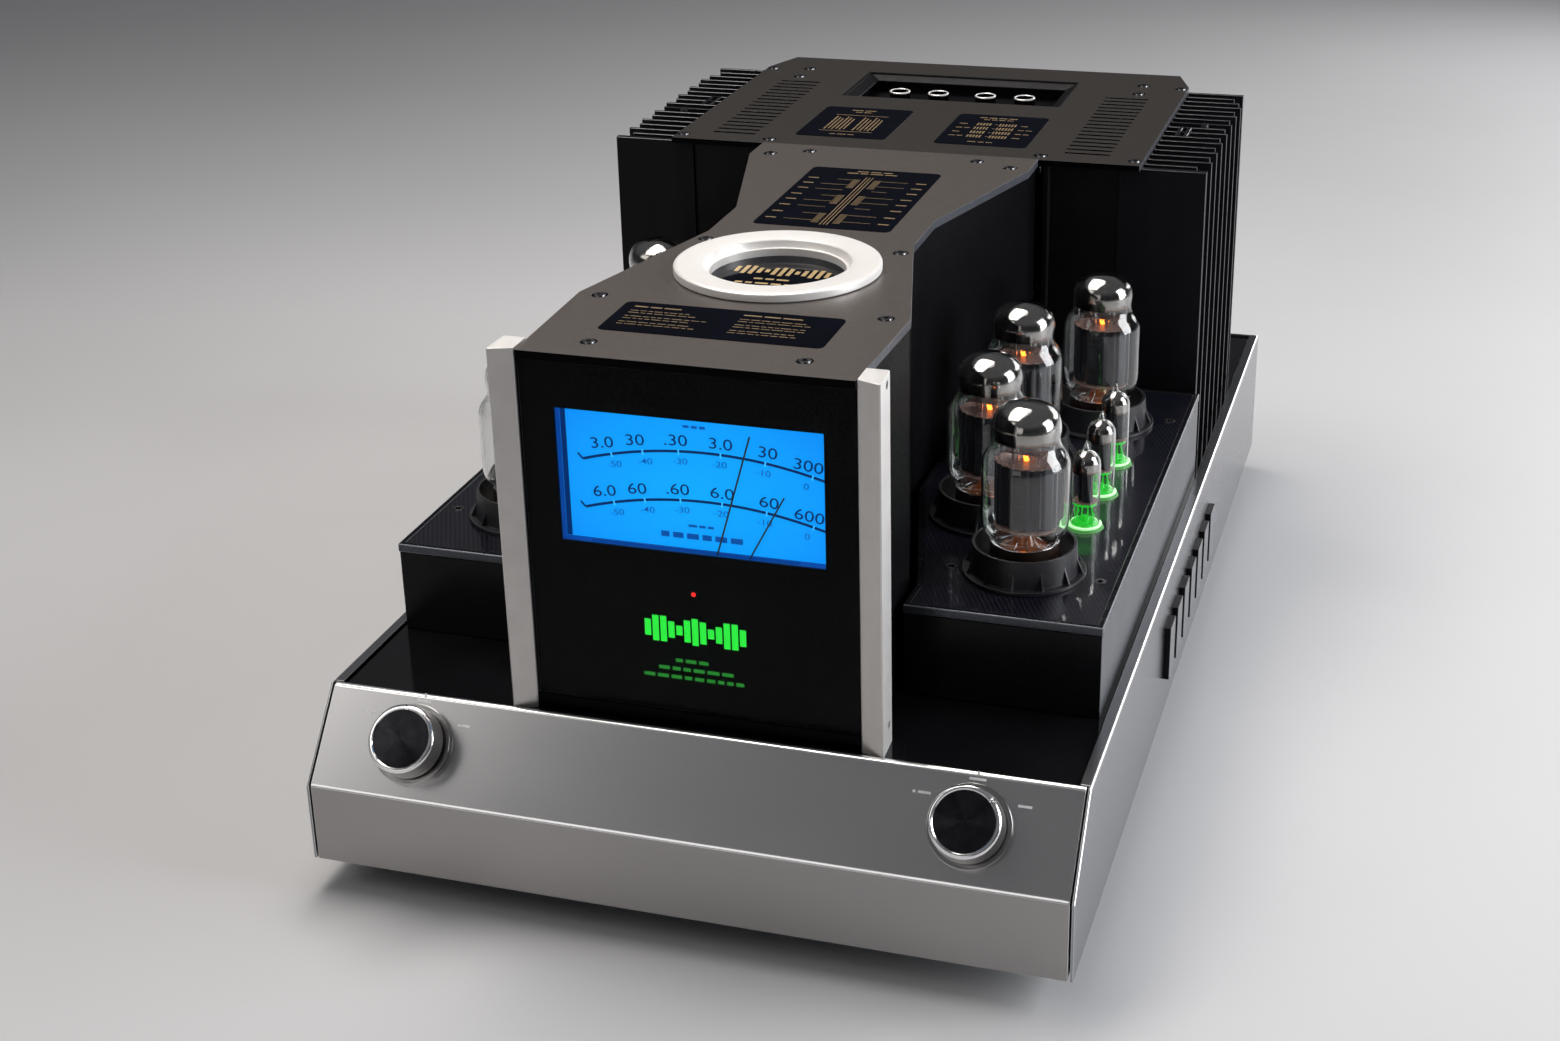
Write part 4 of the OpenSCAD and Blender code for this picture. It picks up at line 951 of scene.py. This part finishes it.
for side, x0 in (("left", -KNOB_X), ("right", KNOB_X)):
    marks = [(-31, 14.2, -24, 15.6), (-4.6, 25.2, 4.6, 26.6), (23.5, 14.2, 31, 15.6),
             (-34, 14.2, -32.4, 15.6), (-0.7, 28.4, 0.7, 30.2)]
    ink(side + "_knob_marks", marks, on_fascia(x0), "mark", "polished_steel", 0.04)


# ---------------- dial
def on_dial(u, v, w):
    """Places print on the dial: w leaves it towards the front."""
    return P(u, SCALE_Y - 0.02 - w, v)


def arc_band(bm, cx, cz, r, width, x0, x1, steps=70):
    """Curved line on the dial about (cx, cz), from x0 to x1."""
    rows = []
    for i in range(steps + 1):
        x = x0 + (x1 - x0) * i / steps
        a = math.asin((x - cx) / r)
        rows.append([bm.verts.new(on_dial(cx + (r + d) * math.sin(a), cz + (r + d) * math.cos(a), w))
                     for d, w in ((-width / 2, 0), (width / 2, 0), (width / 2, 0.05), (-width / 2, 0.05))])
    for a, b in zip(rows, rows[1:]):
        skin(bm, a, b)
    bm.faces.new(rows[0])
    bm.faces.new(rows[-1][::-1])


def bar(bm, a, b, width, thick):
    """Straight line on the dial from a to b."""
    n = (b - a).normalized()
    n = Vector((n.y, -n.x)) * width / 2
    prism(bm, *[[on_dial(p.x, p.y, w) for p in (a - n, b - n, b + n, a + n)] for w in (0, thick)])


def on_arc(cx, cz, r, x):
    """Height of the arc about (cx, cz) at x."""
    return cz + math.sqrt(r * r - (x - cx) ** 2)


TICKS = (-46.9, -28.8, -8.1, 15.8, 40.9, 67.1)
NUMBER_SHIFT = (-4.7, -3.8, -1.3, 0.0, 1.0, -3.0)
LEVEL_SHIFT = (1.9, 1.6, 0.9, -0.9, -1.6, -4.2)
ARCS = ((7.1, 11.7, 243.3), (6.2, -11.0, 237.5))
ARC_FROM = -63.5
bm = bmesh.new()
for cx, cz, r in ARCS:
    arc_band(bm, cx, cz, r, 1.55, ARC_FROM, 74.5)
    foot = Vector((ARC_FROM, on_arc(cx, cz, r, ARC_FROM)))
    bar(bm, foot, foot + Vector((-2.8, 3.2)), 1.1, 0.05)
outward(bm)
new_piece("dial_scales", bm, "navy", smooth=None, slot="meter_blue")
bm = bmesh.new()
for cx, cz, r in ARCS:
    for x in TICKS:
        outer = r + 1.1
        a = math.asin((x - cx) / outer)
        centre, d = Vector((cx, cz)), Vector((math.sin(a), math.cos(a)))
        bar(bm, centre + d * (outer - 3.0), centre + d * outer, 0.8, 0.09)
outward(bm)
new_piece("dial_ticks", bm, "tick", smooth=None, slot="meter_blue")

DIGIT_HEIGHT = 0.72  # of the font's size
DIGIT_WIDEN = 1.28
DIGIT_LEAN = 0.55  # of the angle of the scale's radius


def number(bm, text, x, z, height, cx, cz):
    """A dial number standing along the scale's radius."""
    cu = bpy.data.curves.new("number", "FONT")
    cu.body = text
    cu.size = height / DIGIT_HEIGHT / 1000
    cu.align_x = "CENTER"
    cu.offset = height * 0.002 / 1000
    o = add_object("number", cu)
    bpy.context.view_layer.update()
    me = bpy.data.meshes.new_from_object(o.evaluated_get(bpy.context.evaluated_depsgraph_get()))
    a = math.atan2(x - cx, z - cz) * DIGIT_LEAN
    for v in me.vertices:
        u, w = v.co.x * 1000 * DIGIT_WIDEN, v.co.y * 1000
        v.co = on_dial(x + u * math.cos(a) + w * math.sin(a), z - u * math.sin(a) + w * math.cos(a), 0.03)
    bm.from_mesh(me)
    bpy.data.objects.remove(o)
    bpy.data.curves.remove(cu)
    bpy.data.meshes.remove(me)


bm = bmesh.new()
small = bmesh.new()
for (cx, cz, r), watts in zip(ARCS, (("3.0", "30", ".30", "3.0", "30", "300"),
                                      ("6.0", "60", ".60", "6.0", "60", "600"))):
    levels = ("-50", "-40", "-30", "-20", "-10", "0")
    for x, text, level, du, dv in zip(TICKS, watts, levels, NUMBER_SHIFT, LEVEL_SHIFT):
        z = on_arc(cx, cz, r, x)
        number(bm, text, x + du, z + 3.2, 6.5, cx, cz)
        number(small, level, x + dv, z - 7.4, 3.7, cx, cz)
for b, name in ((bm, "dial_numbers"), (small, "dial_levels")):
    bmesh.ops.remove_doubles(b, verts=b.verts, dist=1e-7)
    new_piece(name, b, "navy" if b is bm else "navy_soft", smooth=None, slot="meter_blue")
ink("dial_rules", dashes(-20, 31, 203.6, 3.3, 2.0, (4, 7)) + dashes(-4, 12, 210.8, 1.5, 1.2, (3, 5))
    + dashes(-5, 9, 268.5, 1.5, 1.2, (3, 5)), on_dial, "navy_soft", "meter_blue")
ink("dial_side_shade", [(-75.4, 198.1, -72.3, 275.9)], on_dial, "dial_shade", "meter_blue")


# ---------------- knobs
def knob_piece(name, profile, matrix, mats, body, replaces, slot, segs=180, notch=None, second=None):
    """Turned piece in a knob's own frame.

    notch is (angle, half width, least radius, depth); faces that pass `second` get the second finish.
    """
    bm = bmesh.new()
    verts = lathe(bm, profile, Vector((0, 0, 0)), segs)
    if notch:
        angle, half, least, depth = notch
        floor = max(z for _, z in profile) - depth
        for v in verts:
            a = (math.degrees(math.atan2(v.co.x, v.co.y)) - angle + 180) % 360 - 180
            r = math.hypot(v.co.x, v.co.y) * 1000
            if abs(math.radians(a)) * r < half and r > least and v.co.z * 1000 > floor:
                v.co.z -= depth / 1000
    outward(bm)
    if second:
        for f in bm.faces:
            f.material_index = int(second(f.calc_center_median()))
    new_piece(name, bm, mats, body, 32, replaces, slot, matrix)


KNOB = [(0, 6.3), (19.6, 6.3), (20.3, 6.6), (20.45, 7.4), (20.3, 10), (20.05, 14), (19.85, 18.0),
        (19.6, 18.9), (18.7, 19.75), (18.1, 19.95), (17.3, 19.95), (16.75, 19.4), (16.7, 18.5), (0, 18.5)]
FACE = [(0, 18.55), (16.55, 18.55), (16.55, 19.1), (16.2, 19.3), (0, 19.35)]
STEM = [(0, -14), (3, -14), (3, 6.3), (0, 6.3)]
for which, x0, mark in (("mode", -KNOB_X, 0), ("power", KNOB_X, 45)):
    knob, at = which + "_knob", on_slant(x0)
    knob_piece(knob + "_turned", KNOB, at, ["knob_alu", "rim"], knob, (knob,), "satin_alu",
               notch=(mark, 0.75, 17.0, 1.1), second=lambda c: c.z > RIM_Z)
    knob_piece(knob + "_face", FACE, at, ["spun"], knob, (which + "_inlay",), "spun_black")
    knob_piece(knob + "_shaft", STEM, at, ["nickel"], knob, (), "satin_alu", 32)
soften("knob_bezels", 0.5, segs=3, slot="polished_steel")

TRIM = [(0, 0.6), (7.3, 0.6), (7.7, 1.1), (7.7, 8.4), (7.9, 8.8), (7.9, 9.5), (7.5, 9.9), (6.9, 9.9),
        (6.5, 9.5), (6.4, 7.6), (0, 7.2)]
# The trim knobs' rings take the aluminium painted lighter as a painted highlight.
for i, x in enumerate((-48.5, -18.3, 18.3, 48.5), 1):
    knob_piece(f"trim_knob_{i}_turned", TRIM, Matrix.Translation(P(x, TRIM_Y, REAR_Z - 14)),
               ["alu_side", "mask"], f"trim_knob_{i}", (f"trim_knob_{i}",), "trim_knob", 72,
               second=lambda c: c.z < LID_Z or math.hypot(c.x, c.y) < LID_R)

# black sloping frame round the recess: outer and inner rectangle, then the loft between them
bm = bmesh.new()
outer, inner = [[(x, y0), (x, y1), (-x, y1), (-x, y0)]
                for x, y0, y1 in ((83, 624, 702), (74, 630, 694))]
high, low = REAR_Z - 0.3, REAR_Z - 4.5
loops = [[bm.verts.new(P(x, y, z)) for x, y in pts] for pts, z in
         ((outer, high), (inner, low), (inner, low - 1.2), (outer, low - 1.2))]
for a, b in zip(loops, loops[1:] + loops[:1]):
    skin(bm, a, b)
outward(bm)
bevel_all(bm, 0.35, 20)
new_piece("recess_frame", bm, "satin_black", smooth=30, slot="satin_black")

# ---------------- ring
RING = [(60.2, 0.05), (61.0, 0.7), (61.0, 3.9), (60.6, 4.7), (59.6, 5.3), (58.2, 5.5), (50, 5.35),
        (45.0, 5.0), (43.6, 4.7), (43.0, 4.1), (42.3, 1.5), (41.5, 0.2), (40.1, 0.0), (40.0, -0.4),
        (40.0, -8.4), (42.2, -8.4), (42.2, 0.05)]
turned("ring_turned", RING, [(0, RING_Y)], TOWER_Z, "pearl", 144, smooth=28, replaces=("top_ring",),
       slot="pearl_alu")

# ---------------- deck and badges
decks = soften("deck_bodies", 0.7, mats=["deck_black", "deck_side"], slot="gloss_black")
paint(decks, 1, lambda f: beyond(f, DECK_SIDE))
badges = soften("side_badges", 0.5, mats=["satin_black", "steel_side"], slot="satin_black")
# The badges' outer faces take the steel painted darker as painted shade.
paint(badges, 1, lambda f: beyond(f, 0))
soften("deck_plates", 0.35, slot="ribbed_deck")

# ---------------- floor, light, camera
bm = bmesh.new()
bmesh.ops.create_grid(bm, x_segments=8, y_segments=8, size=6.0)
floor_me = bpy.data.meshes.new("floor")
bm.to_mesh(floor_me)
bm.free()
floor = add_object("floor", floor_me)
m, t, sh, out = material("floor_pale")
t.links.new(ramp(t, noise(t, coords(t), 1.5), [(0.3, (0.56, 0.56, 0.57)), (0.7, (0.60, 0.60, 0.61))]),
            sh.inputs["Base Color"])
sh.inputs["Roughness"].default_value = 0.55
floor_me.materials.append(m)

world = bpy.data.worlds.new("studio")
bpy.context.scene.world = world
world.use_nodes = True
t = world.node_tree
up = t.nodes.new("ShaderNodeSeparateXYZ")
t.links.new(t.nodes.new("ShaderNodeTexCoord").outputs["Generated"], up.inputs[0])
sky = ramp(t, up.outputs["Z"], [(0.0, (0.30, 0.31, 0.33)), (0.25, (0.22, 0.23, 0.25)),
                                (0.6, (0.85, 0.86, 0.9))])
t.links.new(sky, t.nodes["Background"].inputs[0])
t.nodes["Background"].inputs[1].default_value = 0.17


def area(name, loc, target, size, energy, color, diffuse=True):
    """Rectangular lamp that points at the target."""
    d = bpy.data.lights.new(name, "AREA")
    d.shape = "RECTANGLE"
    d.size, d.size_y = size
    d.energy = energy
    d.color = color
    o = add_object(name, d)
    o.location = loc
    o.rotation_euler = (Vector(target) - Vector(loc)).to_track_quat("-Z", "Y").to_euler()
    o.visible_camera = False
    o.visible_diffuse = diffuse


area("key_left", (-1.4, -1.1, 1.5), (0, 0, 0.2), (1.1, 1.1), 6, (1.0, 0.97, 0.93))
area("top", (-0.35, 0.15, 1.5), (0, 0.0, 0.25), (1.2, 0.7), 19, (1.0, 0.95, 0.90))
area("right_side", (2.0, 0.1, 0.9), (0.1, 0, 0.15), (1.0, 1.6), 48, (0.95, 0.97, 1.0))
area("front_low", (-0.7, -2.3, 0.75), (0, -0.35, 0.1), (1.7, 0.9), 4.5, (1.0, 0.97, 0.94), diffuse=False)
area("back_right", (1.05, 1.95, 0.75), (0.2, 0.1, 0.1), (1.3, 0.7), 12, (1.0, 1.0, 1.0))

cam_data = bpy.data.cameras.new("camera")
cam = add_object("camera", cam_data)
bpy.context.scene.camera = cam
EYE = P(395.7, -983.1, 718.9)
LOOK = Vector((-0.28350, 0.87965, -0.38190)).normalized()
ROLL = math.radians(1.27)
level = LOOK.cross(Vector((0, 0, 1))).normalized()
right = level * math.cos(ROLL) + LOOK.cross(level) * math.sin(ROLL)
turn = Matrix((right, right.cross(LOOK), -LOOK)).transposed().to_4x4()
cam.matrix_world = Matrix.Translation(EYE) @ turn
cam_data.lens = 52.292308
cam_data.sensor_width = 36.0
cam_data.shift_x, cam_data.shift_y = -0.012820513, -0.050320513
cam_data.clip_start, cam_data.clip_end = 0.05, 40
bpy.context.scene.view_settings.view_transform = "Standard"
